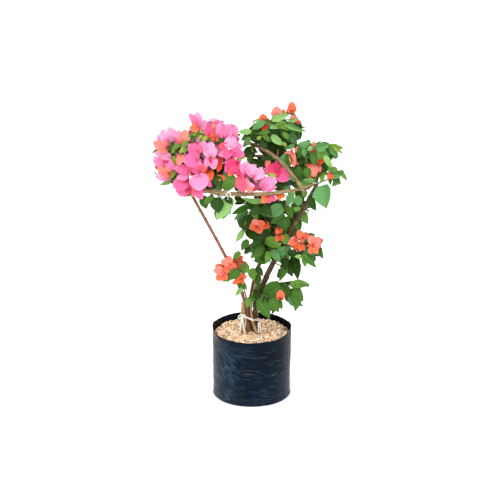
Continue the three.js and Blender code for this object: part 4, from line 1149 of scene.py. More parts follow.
# Deep and full leaves here often stand for leaves that show dark from shade: painted shade.
LEAVES_SEEN = {
    "blossom_middle": [
        (195, 136, 191, 142, 0.6, "full"), (189, 147, 188, 155, 0.5, "deep"),
        (173, 140, 175, 148, 0.6, "full"), (206, 140, 206, 146, 0.5, "full"),
        (197, 131, 190, 137, 0.5, "young"), (200, 132, 194, 139, 0.5, "mid"),
        (200, 132, 205, 134, 0.45, "young"), (203, 136, 198, 140, 0.5, "young"),
        (192, 135, 188, 141, 0.5, "mid"), (207, 137, 202, 143, 0.5, "young"),
        (209, 139, 212, 144, 0.5, "full"), (188, 142, 183, 149, 0.6, "mid"),
        (186, 148, 180, 154, 0.5, "young"), (181, 146, 172, 150, 0.5, "mid"),
        (171, 151, 180, 152, 0.45, "full"), (188, 149, 183, 154, 0.5, "mid"),
        (178, 149, 172, 154, 0.4, "young"), (174, 157, 178, 167, 0.5, "young"),
        (176, 155, 181, 160, 0.5, "full"),
    ],
    "blossom_left": [
        (160, 150, 152, 153, 0.35, "mid"), (173, 181, 160, 185.5, 0.35, "pale"),
        (176, 171, 171, 179, 0.45, "young"), (177, 175, 172, 182, 0.6, "full"),
        (172, 181, 176, 185, 0.5, "full"), (158, 174.5, 154, 172, 0.3, "mid"),
        (173, 147, 167, 149, 0.5, "full"),
    ],
    "blossom_low": [
        (188, 196, 193, 193, 0.4, "full"),
    ],
    "blossom_fold": [
        (216, 177, 213, 190, 0.7, "deep"), (216, 176, 222, 188, 0.7, "deep"),
        (206, 184, 214, 193, 0.6, "deep"), (236, 186, 239, 192, 0.8, "deep"),
        (229, 174.5, 227, 192.5, 0.95, "mid"), (222, 187, 213, 192, 0.7, "pale"),
        (235, 186, 241, 187, 0.6, "young"), (245, 190, 236, 193, 0.5, "pale"),
        (225, 138, 214, 144, 0.35, "full"),
    ],
    "blossom_trail": [
        (269, 175, 276, 177, 0.6, "young"), (237, 160, 245, 159, 0.35, "young"),
    ],
    "top_leaves": [
        (279, 139, 289, 147, 0.7, "deep"), (289, 142, 299, 148, 0.6, "deep"),
        (250, 136, 262, 143, 0.6, "deep"), (262, 131, 251, 139, 0.6, "deep"),
        (270, 130, 284, 134, 0.6, "deep"), (252, 134, 262, 141, 0.6, "full"),
        (284, 124, 297, 129, 0.5, "full"), (250, 134, 241, 141, 0.5, "full"),
        (272, 122, 284, 128, 0.6, "full"), (281, 131, 287, 142, 0.6, "full"),
        (262, 139, 268, 148, 0.7, "deep"), (253, 132, 265, 134, 0.4, "full"),
        (266, 121, 278, 124, 0.5, "mid"), (256, 121, 262, 119, 0.5, "pale"),
        (263, 136, 271, 143, 0.5, "mid"), (264, 122, 251, 130, 0.5, "grey"),
        (251, 132, 238, 132, 0.5, "pale"), (250, 138, 243, 148, 0.55, "grey"),
        (270, 128, 283, 129, 0.35, "pale"), (272, 136, 284, 145.5, 0.5, "pale"),
        (240, 134, 235, 137, 0.4, "young"), (286, 121.5, 307.5, 132.5, 0.22, "pale"),
        (257, 139, 262, 137, 0.7, "young"), (272, 120, 289.5, 114, 0.42, "pale"),
        (282, 143, 287, 147, 0.6, "young"), (276, 125, 290, 121.5, 0.3, "mid"),
        (280, 127, 294, 131, 0.35, "mid"), (268, 131, 258, 134, 0.4, "mid"),
        (283, 133, 290, 140, 0.5, "mid"),
    ],
    "top_blossom": [
        (289, 120.5, 299, 118.5, 0.5, "pale"), (281, 115, 285, 110, 0.5, "young"),
        (267, 119, 271, 124, 0.5, "young"),
    ],
    "heart_leaves": [
        (251, 147, 252, 162, 0.85, "deep"), (263, 142, 268, 157, 0.7, "deep"),
        (274, 144, 271, 158, 0.7, "deep"), (253, 160, 264, 169, 0.6, "deep"),
        (281, 142, 279, 156, 0.7, "full"), (252, 147, 258, 153, 0.6, "mid"),
        (248, 158, 255, 166, 0.6, "full"),
    ],
    "right_leaves": [
        (287, 170, 283, 182, 0.6, "deep"), (292, 172, 299, 186, 0.6, "full"),
        (312, 183, 303, 191, 0.6, "deep"), (299, 131, 300, 139, 0.6, "full"),
        (293, 134, 290, 147, 0.6, "deep"), (298, 167, 299, 180, 0.6, "full"),
        (294, 166, 295, 177, 0.6, "deep"), (318, 174, 312, 182, 0.6, "full"),
        (312, 154, 315, 166, 0.65, "full"), (325, 149, 331, 154, 0.5, "full"),
        (305, 158, 308, 164, 0.5, "deep"), (289, 129.5, 297, 145, 0.62, "grey"),
        (285, 127, 291, 134, 0.6, "full"), (286, 155, 281, 167, 0.6, "grey"),
        (287, 156, 289, 168, 0.6, "full"), (292, 180, 302, 190, 0.6, "deep"),
        (294, 145, 286, 149, 0.5, "grey"), (299, 148, 299, 159, 0.5, "full"),
        (304, 149, 304, 158, 0.6, "grey"), (298, 146, 311, 143, 0.55, "grey"),
        (312, 147, 306, 151, 0.6, "pale"), (323, 149, 318, 160, 0.85, "mid"),
        (315, 148, 327.5, 144, 0.7, "grey"), (328, 146, 343, 148, 0.4, "mid"),
        (330, 149, 338, 158, 0.4, "grey"), (333, 146, 343, 154, 0.3, "young"),
        (324, 156, 332, 169, 0.42, "pale"), (307, 168, 307, 179, 0.8, "full"),
        (303, 181, 316, 180, 0.42, "pale"), (299, 183, 312, 186, 0.4, "mid"),
        (290, 176, 296, 182, 0.6, "grey"),
    ],
    "right_tip_leaves": [
        (331, 176, 340, 184, 0.6, "full"), (323, 174, 320, 184, 0.4, "mid"),
        (340, 172, 323, 174, 0.5, "grey"), (340, 172, 346.5, 181, 0.4, "mid"),
        (338, 173, 343, 168.5, 0.25, "young"),
    ],
    "right_hanging_leaves": [
        (310, 197, 315, 211, 0.6, "deep", -0.5), (312, 193, 318, 200, 0.4, "full"),
        (323.5, 186, 326, 208.5, 0.84, "grey"), (304, 190, 304, 198, 0.8, "mid"),
    ],
    "under_hoop_left": [
        (212, 196, 204, 204, 0.6, "mid"), (203, 196, 207, 209, 0.7, "full"),
        (226, 197, 233, 204, 0.6, "deep"), (231, 198, 216, 220, 0.55, "pale"),
        (218, 198, 219, 213, 0.9, "deep"),
    ],
    "under_hoop_middle": [
        (236, 196, 244, 203, 0.6, "full"), (245, 200, 234, 204, 0.5, "deep"),
        (262, 206, 272, 216, 0.7, "deep"), (258, 206, 251, 216, 0.6, "deep"),
        (262, 199, 241, 197, 0.3, "pale"), (246, 204, 264, 203, 0.4, "full"),
        (248, 206, 231, 214, 0.35, "full"), (252, 210, 258, 219, 0.6, "full"),
        (248, 212, 233, 220, 0.4, "grey"),
    ],
    "under_hoop_right": [
        (284, 215, 270, 223, 0.6, "full"), (278, 183, 291, 189, 0.6, "deep"),
        (303, 200, 298, 210, 0.7, "deep", -0.5), (296, 191, 304, 200, 0.7, "deep", -0.3),
        (270, 186, 281, 191, 0.6, "deep", -0.3), (270, 201, 286, 203, 0.5, "deep", -0.3),
        (268, 201, 280, 207, 0.5, "deep"), (292, 204, 296, 214, 0.6, "deep"),
        (286, 207, 292, 218, 0.6, "full"), (282, 207, 265, 216, 0.65, "grey"),
        (300, 197, 292, 207, 0.7, "grey"), (291, 193, 286, 206, 0.55, "grey"),
        (290, 191, 296, 195, 0.5, "young"), (283, 188, 290, 186, 0.5, "grey"),
        (300, 208, 289, 210, 0.4, "mid"),
    ],
    "right_cane_leaves": [
        (300, 210, 308, 224, 0.6, "mid"), (297, 220, 300, 231, 0.8, "full"),
        (292, 210, 297, 222, 0.7, "deep"),
    ],
    "centre_leaves": [
        (253, 216, 242, 230, 0.8, "deep"), (247, 230, 261, 240, 0.7, "deep"),
        (284, 217, 286, 234, 0.7, "full"), (243, 230, 236, 242, 0.45, "pale"),
        (284, 234, 289, 245, 0.8, "mid"), (246, 221, 242, 226, 0.5, "young"),
        (266, 240, 282, 248, 0.6, "mid"), (262, 238, 252, 248, 0.7, "deep"),
        (248, 240, 241, 250, 0.6, "full"),
    ],
    "centre_leaves_low": [
        (290, 247, 273, 253, 0.5, "grey"), (272, 250, 280, 262, 0.6, "grey"),
        (262, 246, 256, 258, 0.7, "full"), (250, 248, 244, 254, 0.7, "deep"),
        (240, 252, 233, 260, 0.6, "mid"), (268, 251, 266, 263, 0.6, "mid"),
    ],
    "right_blossom": [
        (318, 245, 323, 259, 0.45, "full"), (304, 254, 316, 267, 0.45, "full"),
        (303, 254, 305, 267, 0.5, "mid"), (308, 234, 315, 234, 0.5, "full"),
        (302, 256, 294, 256, 0.5, "pale"), (288, 252, 300, 262, 0.6, "deep"),
        (286, 254, 289, 260, 0.5, "mid"),
    ],
    "low_hanging_leaves": [
        (292, 258, 297.5, 280, 0.45, "deep"), (286, 259, 292.5, 277, 0.5, "deep"),
        (283, 261, 279, 281, 0.42, "full"), (284, 258, 286, 270, 0.6, "deep"),
    ],
    "lower_left_blossom": [
        (237, 269, 229, 280, 0.8, "full"), (247, 264, 242, 274, 0.8, "mid"),
        (243, 281, 239, 292, 0.6, "full"), (243, 282, 247, 290, 0.6, "mid"),
        (241, 288, 235, 296, 0.5, "pale"), (246, 268, 252, 274, 0.5, "mid"),
    ],
    "lower_middle_leaves": [
        (250, 270, 262, 280, 0.7, "mid"), (257, 267, 263, 276, 0.6, "deep"),
        (258, 275, 258, 289, 0.5, "deep"),
    ],
    "foot_leaves_front": [
        (248, 299, 259, 294, 0.55, "full"), (250, 298, 247, 308, 0.6, "mid"),
        (256, 290, 259, 302, 0.5, "deep"), (257, 297, 254, 311, 0.35, "deep", -0.4),
    ],
    "lower_right_leaves": [
        (281, 285, 261, 300, 0.72, "full"), (259, 299, 270, 319, 0.55, "full"),
        (272, 298, 279, 312, 0.75, "full"), (282, 283, 292, 302, 0.55, "full"),
        (281, 284, 295, 281, 0.4, "deep"), (263, 298, 262, 303, 0.6, "deep"),
    ],
    "lower_right_tip_leaves": [
        (291, 285, 310, 284, 0.5, "mid"), (296, 287, 295, 311, 0.5, "full"),
    ],
}

# Millimetres in a pixel, and the pixels that lie over the frame's origin
PIXEL, ORIGIN_U, ORIGIN_V = 2.82, 252, 393.5
SEEN_DEPTH = 0.62


def under_pixel(mass, u, v, depth=SEEN_DEPTH, ahead=0):
    """The point of a mass under a pixel, to the nearest millimetre."""
    flat = np.array([(u - ORIGIN_U) * PIXEL, 0, 0]) + FRONT_UP * (ORIGIN_V - v) * PIXEL
    away, step = (flat - mass.centre) / mass.half, TO_FRONT / mass.half
    a, b, c = step @ step, away @ step, away @ away - 1
    reach = -b / a + depth * math.sqrt(max(b * b - a * c, 0)) / a
    return np.rint(flat + TO_FRONT * reach + TO_FRONT * ahead)


def between_pixels(u, v, tip_u, tip_v):
    """The angle from upright and the length between two pixels, to the nearest degree and millimetre."""
    right, up = (tip_u - u) * PIXEL, (v - tip_v) * PIXEL
    return round(math.degrees(math.atan2(right, up))), round(math.hypot(right, up))


MASS_SEED, MASS_SEED_STEP = 101, 37


class Mass:
    """An oval of leaves or blossom, on a stem of its own. All in blossom, it has more blooms and fewer leaves."""

    def __init__(self, number, name, centre, half, twigs, leaf, blossom, bract, bract_tints, leaf_tints):
        self.name, self.centre, self.half = name, np.array(centre, float), np.array(half, float)
        self.twigs, self.leaf, self.blossom, self.bract = twigs, leaf, blossom, bract
        self.bract_tints, self.leaf_tints = bract_tints, leaf_tints
        self.seed = MASS_SEED + MASS_SEED_STEP * number
        self.side_blooms = 2 if blossom == 1 else 1
        self.leafiness = 0.22 if blossom == 1 else 0.85
        self.taken = np.zeros((0, 3))
        self.joints = np.zeros((0, 3))

    def extent(self, way):
        return 1 / np.linalg.norm(way / self.half)


MASSES = [Mass(number, *row) for number, row in enumerate(MASSES)]
STATIONS = 40

# How far leaves and blooms may stand out of a mass's oval, as shares of its size, and the room they keep from
# the walls between masses, from limbs and from one another. The foot of a leaf may touch its neighbours.
OVERHANG, BLOOM_OVERHANG = 1.07, 1.12
ROOM_WALL, ROOM_LIMB, ROOM_LEAF, ROOM_FOOT = -12.0, 1.0, 2.4, 16.0

# Radii of a stem, how far it goes past its mass's middle, and how many more twigs there are than in the source
STEM_FOOT, STEM_TIP, STEM_PAST = 2.1, 1.4, 0.2
FINER = 2.2
# How deep a stem's foot is in its limb, as a share of the limb's radius, and how long stems and joined twigs keep
# their first or last way, as a share of their length
SUNK, HANDLE = 0.8, 0.4
# Radii of a twig and of a bloom's stalk, the distance between blooms, and how far their stalks stand out and on
TWIG_FOOT, TWIG_TIP, STALK_FOOT, STALK_TIP = 1.2, 0.7, 0.7, 0.6
BLOOM_STEP, STALK_OUT, STALK_ON = 20, 14, 6
# The distance between leaves on a twig, and the sizes that are tried where a leaf or bloom finds no room
INTERNODE = 13
SMALLER = (1, 0.84, 0.7)

# What is seen keeps others this far off in the view and behind, and each row stands a step ahead of the last.
# A shape's width is a share of its length, and a leaf's stalk is the first part of its length.
SEEN_REACH, SEEN_BEHIND, SEEN_STEP, BRACT_STEP = 10.0, 3.0, 1.2, 2
SEEN_SEED = 5000
FLOWER_PITCH, FLOWER_AHEAD = 1.1, 4
BLADE_WIDTH, LEAF_STALK = 0.82, 0.1
SEEN_SPOTS = []

# Stretches of limbs that show from the front, and ovals of open sky in that view: across, up and half sizes
LIMBS_SEEN = {
    "right_cane": ((0, 0.42), (0.6, 1)), "middle_cane": ((0, 0.4), (0.68, 1)), "left_cane": ((0, 1),),
    "cut_stub": ((0, 1),), "crossing_shoot": ((0, 0.8),), "hoop_front_left": ((0.4, 1),),
    "hoop_front_right": ((0, 1),), "arch_cane": ((0, 1),), "lower_right_shoot": ((0, 1),),
    "lower_left_shoot": ((0, 0.7),), "hoop_back": ((0.37, 0.52),), "curled_shoot": ((0, 0.8),),
    "right_tip_shoot": ((0, 0.8),),
}
SKY = np.array([
    (175, 490, 28, 24), (280, 613, 30, 46), (-128, 512, 26, 24), (-22, 715, 12, 10), (17, 687, 10, 14),
    (231, 650, 14, 13), (-40, 532, 14, 9), (99, 334, 14, 10), (155, 278, 14, 24), (-8, 352, 7, 16),
    (36, 345, 12, 20), (62, 340, 9, 24), (200, 545, 22, 18), (-10, 290, 5, 20), (140, 545, 6, 5),
    (73, 815, 14, 7), (93, 818, 10, 9), (130, 788, 11, 6), (169, 721, 24, 7), (228, 713, 20, 6),
    (251, 640, 10, 7), (-101, 778, 28, 7), (-243, 757, 10, 8),
])

starts, ends, thick, owners = [], [], [], []


def add_lengths(owner, line, radius_at):
    stations = np.linspace(0, 1, STATIONS + 1)
    points = line.at(stations)
    starts.extend(points[:-1])
    ends.extend(points[1:])
    thick.extend(radius_at(stations[:-1]) * np.ones(STATIONS))
    owners.extend([owner] * STATIONS)


def stem_of(mass):
    """A stem from the nearest point of a limb: square to it, or straight on from an open tip."""
    best = (math.inf, None, 0)
    for part in LIMBS.values():
        last = STATIONS if part.open_tip else STATIONS - 1
        stations = np.arange(1, last + 1) / STATIONS
        away = np.linalg.norm(part.line.at(stations) - mass.centre, axis=1)
        i = int(np.argmin(away))
        if away[i] < best[0]:
            best = (away[i], part, stations[i])
    _, part, station = best
    start, along = part.line.point(station), part.line.along(station)
    at_tip = station == 1
    if at_tip:
        part.open_tip = False
    out = along if at_tip else squared(mass.centre - start, along)
    start = start + out * (0 if at_tip else part.radius(station) * SUNK)
    way = mass.centre - start
    handle = start + out * HANDLE * np.linalg.norm(way)
    return arch(start, handle, mass.centre + unit(way) * STEM_PAST * mass.half[2])


for part in LIMBS.values():
    add_lengths(part.name, part.line, part.radius)
for mass in MASSES:
    mass.stem = stem_of(mass)
    add_lengths(mass.name, mass.stem, lambda t: STEM_FOOT + (STEM_TIP - STEM_FOOT) * t)
starts, ends, thick, owners = np.array(starts), np.array(ends), np.array(thick), np.array(owners)


def walls_of(mass):
    """Flat walls part each mass from the others, nearer to the smaller one."""
    walls = []
    for other in MASSES:
        if other is mass:
            continue
        normal = other.centre - mass.centre
        apart = np.linalg.norm(normal)
        normal = normal / apart
        own, theirs = mass.extent(normal), other.extent(normal)
        distance = (apart + (own * own - theirs * theirs) / apart) / 2
        if distance < own * OVERHANG:
            walls.append((normal, distance))
    return np.array([w[0] for w in walls]).reshape(-1, 3), np.array([w[1] for w in walls])


def in_space(mass, points, room, overhang=1.0):
    away = points - mass.centre
    if (np.linalg.norm(away / mass.half, axis=1) > overhang).any():
        return False
    normals, distances = mass.walls
    return bool((away @ normals.T < distances - room).all())


def clear_of_limbs(mass, points, room):
    a, b, radius = mass.near
    along = b - a
    share = np.clip(((points[:, None] - a) * along).sum(2) / (along * along).sum(1), 0, 1)
    away = np.linalg.norm(points[:, None] - a - share[..., None] * along, axis=2)
    return bool((away > radius + room).all())


# Points over a leaf or bract one unit long, across and along
SPREAD_ROWS = {0.25: (-0.3, 0.3), 0.45: (-0.34, 0, 0.34), 0.7: (-0.2, 0.2), 1: (0,)}
SPREAD = np.array([(x, y) for y, xs in SPREAD_ROWS.items() for x in xs])


def spread_over(place, side, heading, length):
    return place + SPREAD[:, :1] * side * length + SPREAD[:, 1:] * heading * length


def past_foot(points, place):
    return points[np.linalg.norm(points - place, axis=1) > ROOM_FOOT]


def fits(mass, place, side, heading, length, overhang=OVERHANG):
    """The points that a leaf or bract takes up, or nothing where it has no room."""
    points = spread_over(place, side, heading, length)
    if not in_space(mass, points, ROOM_WALL, overhang) or not clear_of_limbs(mass, points, ROOM_LIMB):
        return None
    if hides_seen(mass, points):
        return None
    outer = past_foot(points, place)
    if len(mass.taken):
        away = np.linalg.norm(outer[:, None] - mass.taken, axis=2)
        if (away < ROOM_LEAF).any():
            return None
    return outer


def chosen(tints, share):
    """A tint by its weight, for a share from 0 to 1."""
    total = sum(tints.values()) * share
    for tint, weight in tints.items():
        total -= weight
        if total <= 0:
            return tint
    return tint


LEAVES = Heap(LEAF_SHAPES)
BRACTS = Heap(BRACT_SHAPES)
FLOWERS = Heap([tube_flower_shape()])

# Twigs: foot, tip, radii there and bark, 0 for brown and 1 for green
TWIGS = []


def join(mass, foot, along):
    """A curved twig to the foot of a leaf or bloom, from the nearest stem or joined twig of the mass."""
    away = np.linalg.norm(mass.joints - foot, axis=1)
    start = mass.joints[np.argmin(away)]
    line = arch(start, foot - along * HANDLE * away.min(), foot)
    stops = line.at(np.linspace(0, 1, 5))
    for i in range(4):
        TWIGS.append((stops[i], stops[i + 1], 1.3 - 0.15 * i, 1.15 - 0.15 * i, 0))
    mass.joints = np.vstack([mass.joints, stops[1:4]])


def seen_way(angle, pitch):
    """The way at an angle from upright, in degrees to the right as seen, pitched towards the front."""
    flat = FRONT_UP * math.cos(math.radians(angle)) + ACROSS * math.sin(math.radians(angle))
    return flat * math.cos(pitch) + TO_FRONT * math.sin(pitch)


def in_view(points):
    """Points as across, up and out towards the front, in the view from the front."""
    return np.stack([points @ ACROSS, points @ FRONT_UP, points @ TO_FRONT], 1)


def aimed(shape, angle, pitch, roll, length):
    """The frame and size that show a shape's tip at an angle and a length in the view from the front."""
    points = shape[0]
    tip = points[np.argmax(points[:, 1])]
    aim, size = angle, length
    for _ in range(4):
        heading = seen_way(aim, pitch)
        face = squared(turned(TO_FRONT, heading, roll), heading)
        side = np.cross(heading, face)
        across, up, _ = in_view((tip @ np.array([side, heading, face]) * size)[None])[0]
        aim += angle - math.degrees(math.atan2(across, up))
        size *= length / math.hypot(across, up)
    return side, heading, face, size


def take(mass, place, side, heading, length):
    points = spread_over(place, side, heading, length)
    mass.taken = np.vstack([mass.taken, past_foot(points, place)])
    SEEN_SPOTS.append(in_view(points))


def hides_seen(mass, points):
    """Whether points stand in front of what shows from the front, or in open sky."""
    spots, points = mass.seen, in_view(points)
    if (((points[:, None, :2] - SKY[:, :2]) / SKY[:, 2:]) ** 2).sum(2).min() < 1:
        return True
    apart = np.hypot(points[:, :1] - spots[:, 0], points[:, 1:2] - spots[:, 1])
    return bool(((apart < SEEN_REACH) & (points[:, 2:] > spots[:, 2] - SEEN_BEHIND)).any())


def grow_seen(mass):
    """The blooms and leaves at the front of a mass, each on a twig of its own."""
    random = seeded(mass.seed + SEEN_SEED)
    for row, (u, v, bracts, *depth) in enumerate(BLOOMS_SEEN.get(mass.name, ())):
        eye = under_pixel(mass, u, v, *depth) + TO_FRONT * SEEN_STEP * row
        join(mass, eye, unit(TO_FRONT + UP * 0.5))
        for i, (tip_u, tip_v, width, tint) in enumerate(bracts):
            angle, length = between_pixels(u, v, tip_u, tip_v)
            if tint == "flower":
                heading = seen_way(angle, FLOWER_PITCH)
                side = any_square(heading)
                place = eye + TO_FRONT * FLOWER_AHEAD
                FLOWERS.add(0, side, heading, np.cross(side, heading), place, length, (0, 1))
                continue
            kind, pitch, roll = int(random() * 5), 0.1 + 0.45 * random(), (random() - 0.5) * 0.8
            side, heading, face, size = aimed(BRACT_SHAPES[kind], angle, pitch, roll, length)
            place = eye - TO_FRONT * BRACT_STEP * i
            BRACTS.add(kind, side * width / BLADE_WIDTH, heading, face, place, size, BRACT_TINTS[tint])
            take(mass, eye, side, heading, size)
    for row, (u, v, tip_u, tip_v, width, tint, *depth) in enumerate(LEAVES_SEEN.get(mass.name, ())):
        angle, length = between_pixels(u, v, tip_u, tip_v)
        kind, pitch, roll = int(random() * 5), 0.5 * random() - 0.15, random() - 0.5
        side, heading, face, size = aimed(LEAF_SHAPES[kind], angle, pitch, roll, length / (1 - LEAF_STALK))
        foot = under_pixel(mass, u, v, *depth) + TO_FRONT * SEEN_STEP * row - heading * LEAF_STALK * size
        join(mass, foot, heading)
        LEAVES.add(kind, side * width / BLADE_WIDTH, heading, face, foot, size, LEAF_TINTS[tint])
        take(mass, foot, side, heading, size)


def grow_leaf(mass, line, reach, spin, random, size):
    """Tries a leaf at a distance from the twig's tip."""
    start, end = line
    along = unit(end - start)
    length = np.linalg.norm(end - start)
    place = end - along * reach
    outward = unit(unit(end - mass.centre) + UP * 0.3)
    kind, shade, tilt = int(random() * 5), random(), random() - 0.5
    full_size = size
    for attempt in range(15):
        size = full_size * SMALLER[attempt // 5]
        side = turned(any_square(along), along, spin + attempt * GOLDEN_ANGLE)
        if reach:
            heading = unit(along * 0.45 + side * 0.9 - UP * (0.3 + 0.3 * tilt))
        else:
            heading = unit(along * 0.9 + side * 0.35 - UP * 0.3)
        face = squared(outward + UP * 0.4 + ACROSS * tilt * 0.5, heading)
        across = np.cross(heading, face)
        taken = fits(mass, place, across, heading, size)
        if taken is None:
            continue
        mass.taken = np.vstack([mass.taken, taken])
        LEAVES.add(kind, across, heading, face, place, size, LEAF_TINTS[chosen(mass.leaf_tints, shade)])
        return True
    return False


def grow_bloom(mass, place, outward, spin, random, size):
    """Three bracts open round an axis, with small flowers in some."""
    opening, shade, budding = 0.62 + 0.55 * random(), random(), random()
    kinds = [int(random() * 5) for _ in range(3)]
    full_size = size
    for attempt in range(12):
        size = full_size * SMALLER[attempt // 4]
        lean = turned(any_square(outward), outward, attempt * 1.7)
        axis = unit(turned(outward, lean, 0.16 * attempt))
        across = turned(any_square(axis), axis, spin + attempt)
        petals, fresh = [], []
        for i in range(3):
            out = turned(across, axis, i * FULL_TURN / 3)
            heading = unit(axis * math.cos(opening) + out * math.sin(opening))
            face = squared(axis, heading)
            side = np.cross(heading, face)
            taken = fits(mass, place, side, heading, size, BLOOM_OVERHANG)
            if taken is None:
                break
            petals.append((side, heading, face))
            fresh.append(taken)
        if len(petals) < 3:
            continue
        mass.taken = np.vstack([mass.taken, *fresh])
        tint = BRACT_TINTS[chosen(mass.bract_tints, shade)]
        for kind, (side, heading, face) in zip(kinds, petals):
            BRACTS.add(kind, side, heading, face, place + axis * 1.5, size, tint)
        if budding < 0.5:
            for i in range(1 + int(budding * 6)):
                out = turned(across, axis, (i + 0.5) * FULL_TURN / 3)
                heading = unit(axis + out * 0.35)
                foot = place + axis * 2 + out * 2
                FLOWERS.add(0, out, heading, np.cross(out, heading), foot, 15 + 3 * shade, (0, 1))
        return True
    return False


def plan_twig(mass, station, way, spin, sizes, share, blooms):
    """A twig from the mass's stem towards its oval, where the way is free."""
    foot = mass.stem.point(station)
    reach = mass.extent(way)
    past_tip = 0.4 * mass.bract if blooms else 0.45 * mass.leaf
    end = mass.centre + way * max(0.3 * reach, (reach - past_tip) * share)
    stops = foot + (end - foot) * np.linspace(0.1, 1, 10)[:, None]
    if not in_space(mass, stops, 1.0) or not clear_of_limbs(mass, stops, ROOM_LIMB + 1):
        return None
    return {"foot": foot, "end": end, "way": way, "spin": spin, "sizes": sizes, "blooms": blooms, "grown": 0}


def bloom_twig(mass, twig, random):
    """A bloom at the twig's tip and others on short stalks beside it."""
    foot, end, spin = twig["foot"], twig["end"], twig["spin"]
    along = unit(end - foot)
    outward = unit(twig["way"] + UP * 0.3)
    length = np.linalg.norm(end - foot)
    for j in range(1 + min(mass.side_blooms, int(length / 24))):
        size = mass.bract * (0.84 + 0.24 * random())
        node = end - along * BLOOM_STEP * j
        side = turned(any_square(along), along, spin + j * GOLDEN_ANGLE)
        place = node + (side * STALK_OUT + along * STALK_ON) * (j > 0)
        if grow_bloom(mass, place, unit(outward + side * 0.7 * (j > 0)), spin + j, random, size):
            twig["grown"] += 1
            if j:
                TWIGS.append((node, place, STALK_FOOT, STALK_TIP, 1))
            else:
                twig["tipped"] = True


def leaf_twig(mass, twig, random):
    """A leaf at the twig's tip, unless a bloom is there, and leaves beside it."""
    foot, end, spin = twig["foot"], twig["end"], twig["spin"]
    length = np.linalg.norm(end - foot)
    line = (foot, end)
    if not twig.get("tipped") and random() < max(mass.leafiness, 0.4):
        twig["grown"] += grow_leaf(mass, line, 0, spin, random, mass.leaf * twig["sizes"][0])
    for j in range(1, min(5, int((length - 5) / INTERNODE) + 1)):
        if random() < mass.leafiness:
            size = mass.leaf * twig["sizes"][j % 4]
            twig["grown"] += grow_leaf(mass, line, j * INTERNODE, spin + j * GOLDEN_ANGLE, random, size)


def grow(mass):
    random = seeded(mass.seed)
    phase = FULL_TURN * random()
    count = round(mass.twigs * FINER)
    twigs = []
    for k in range(count):
        height = 1 - (2 * k + 1) / count
        level = math.sqrt(1 - height * height)
        angle = phase + k * GOLDEN_ANGLE
        stray = (np.array([random(), random(), random()]) - 0.5) * 0.4
        way = unit(np.array([level * math.cos(angle), level * math.sin(angle), height]) + stray)
        blooms = random() < mass.blossom
        spin = FULL_TURN * random()
        sizes = [0.84 + 0.3 * random() for _ in range(4)]
        station = min(max(0.65 + 0.35 * float(way @ mass.stem.along(1.0)), 0.25), 0.97)
        twigs.append(plan_twig(mass, station, way, spin, sizes, 1 if k % 3 else 0.66, blooms))
    twigs = [twig for twig in twigs if twig]
    for twig in twigs:
        if twig["blooms"]:
            bloom_twig(mass, twig, random)
    for twig in twigs:
        leaf_twig(mass, twig, random)
        if twig["grown"]:
            TWIGS.append((twig["foot"], twig["end"], TWIG_FOOT, TWIG_TIP, 0))


for mass in MASSES:
    mass.walls = walls_of(mass)
    away = np.linalg.norm((starts + ends) / 2 - mass.centre, axis=1)
    close = (owners != mass.name) & (away < max(mass.half) * OVERHANG + thick + 12)
    mass.near = starts[close], ends[close], thick[close]
    mass.joints = mass.stem.at(np.linspace(0.1, 1, 8))
    grow_seen(mass)
for name, stretches in LIMBS_SEEN.items():
    for start, end in stretches:
        line = LIMBS[name].line
        stations = np.linspace(start, end, math.ceil((end - start) * line.length / 8) + 1)
        SEEN_SPOTS.append(in_view(line.at(stations)))
SEEN_SPOTS = np.concatenate(SEEN_SPOTS)
for mass in MASSES:
    middle = in_view(mass.centre[None])[0]
    away = np.hypot(*(SEEN_SPOTS[:, :2] - middle[:2]).T)
    mass.seen = SEEN_SPOTS[away < max(mass.half) * 1.3 + SEEN_REACH]
    grow(mass)

# Twigs and stems, joined

TWIG_SIDES, STEM_LENGTHS = 6, 8


def twig_shape():
    def shape(u, v):
        angle = u * FULL_TURN
        radius = np.where((v < 0.05) | (v > 0.95), 0, 1)
        return np.stack([np.cos(angle) * radius, np.clip((v - 0.25) * 2, 0, 1), -np.sin(angle) * radius], 1)

    return template(TWIG_SIDES, 4, shape)


def twig_mesh():
    """Every twig and stem as a tapered tube of straight lengths."""
    shape, face_sizes, corners, uv, zone = twig_shape()
    lengths = list(TWIGS)
    for mass in MASSES:
        stations = np.linspace(0, 1, STEM_LENGTHS + 1)
        stops = mass.stem.at(stations)
        radii = STEM_FOOT + (STEM_TIP - STEM_FOOT) * stations
        lengths += [(stops[i], stops[i + 1], radii[i], radii[i + 1], 0) for i in range(STEM_LENGTHS)]
    made = []
    for a, b, foot, tip, bark in lengths:
        side = any_square(unit(b - a))
        lift = np.cross(side, unit(b - a))
        radius = foot + (tip - foot) * shape[:, 1:2]
        ring = shape[:, :1] * side * radius + shape[:, 2:] * lift * radius
        points = a + (b - a) * shape[:, 1:2] + ring
        made.append((points, face_sizes, corners, uv * (1, np.linalg.norm(b - a)), zone + bark))
    return joined_mesh("twigs and stems", made)


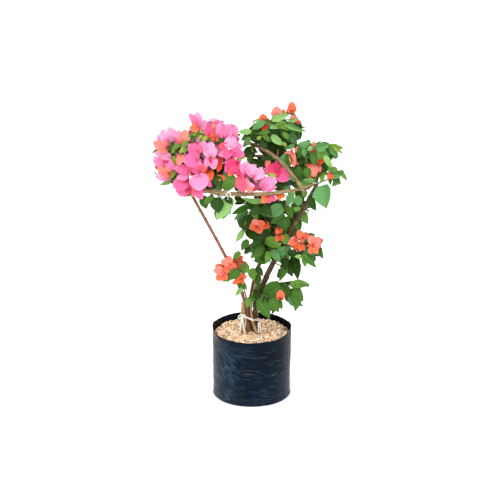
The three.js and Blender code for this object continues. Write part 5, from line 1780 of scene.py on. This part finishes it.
GREEN_MASSES = [mass.name for mass in MASSES if mass.blossom < 0.5]
PINK_MASSES = [mass.name for mass in MASSES if mass.blossom >= 0.5]
ALL_MASSES = GREEN_MASSES + PINK_MASSES
finish_object("twigs and stems", twig_mesh(), TWIG_FINISHES, ALL_MASSES)
finish_object("leaves", LEAVES.mesh("leaves"), LEAF_FINISHES, ALL_MASSES)
finish_object("bracts", BRACTS.mesh("bracts"), BRACT_FINISHES, PINK_MASSES)
finish_object("small flowers", FLOWERS.mesh("small flowers"), FLOWER_FINISHES, PINK_MASSES)

# Floor, light and camera

FLOOR_HALF = 14
floor_mesh = bpy.data.meshes.new("floor")
bm = bmesh.new()
bmesh.ops.create_grid(bm, x_segments=1, y_segments=1, size=FLOOR_HALF)
bm.to_mesh(floor_mesh)
bm.free()
floor = bpy.data.objects.new("floor", floor_mesh)
bpy.context.scene.collection.objects.link(floor)
floor_finish = Finish("pale floor", base_color=(0.94, 0.94, 0.94, 1), roughness=0.9, specular_ior_level=0.1)
floor_mesh.materials.append(floor_finish.material)

world = bpy.data.worlds.new("studio")
world.use_nodes = True
world.node_tree.nodes["Background"].inputs["Color"].default_value = (1, 1, 1, 1)
world.node_tree.nodes["Background"].inputs["Strength"].default_value = 1.0
bpy.context.scene.world = world


def soft_sun(name, azimuth, elevation, strength, spread):
    light = bpy.data.lights.new(name, "SUN")
    light.energy, light.angle = strength, math.radians(spread)
    lamp = bpy.data.objects.new(name, light)
    bpy.context.scene.collection.objects.link(lamp)
    lamp.rotation_euler = (math.radians(90 - elevation), 0, math.radians(azimuth))


# Name, degrees to the right of the front, degrees up, strength and spread
for sun in (("key", -30, 58, 1.65, 50), ("fill", 48, 35, 0.6, 70), ("back", 160, 50, 0.8, 70)):
    soft_sun(*sun)

# The camera, in metres: the width of the picture and the point that it looks at
CAMERA_ELEVATION = math.radians(22.5)
DISTANCE, SENSOR = 16.0, 36
FRAME_WIDTH = 1.41
AIM = np.array([-0.0056, 0, 0.4371])
camera = bpy.data.objects.new("camera", bpy.data.cameras.new("camera"))
camera.data.sensor_width = SENSOR
camera.data.lens = SENSOR * DISTANCE / FRAME_WIDTH
camera.location = AIM + DISTANCE * np.array([0, -math.cos(CAMERA_ELEVATION), math.sin(CAMERA_ELEVATION)])
camera.rotation_euler = (math.pi / 2 - CAMERA_ELEVATION, 0, 0)
camera.data.clip_end = 100
bpy.context.scene.collection.objects.link(camera)
bpy.context.scene.camera = camera
bpy.context.scene.view_settings.view_transform = "Standard"
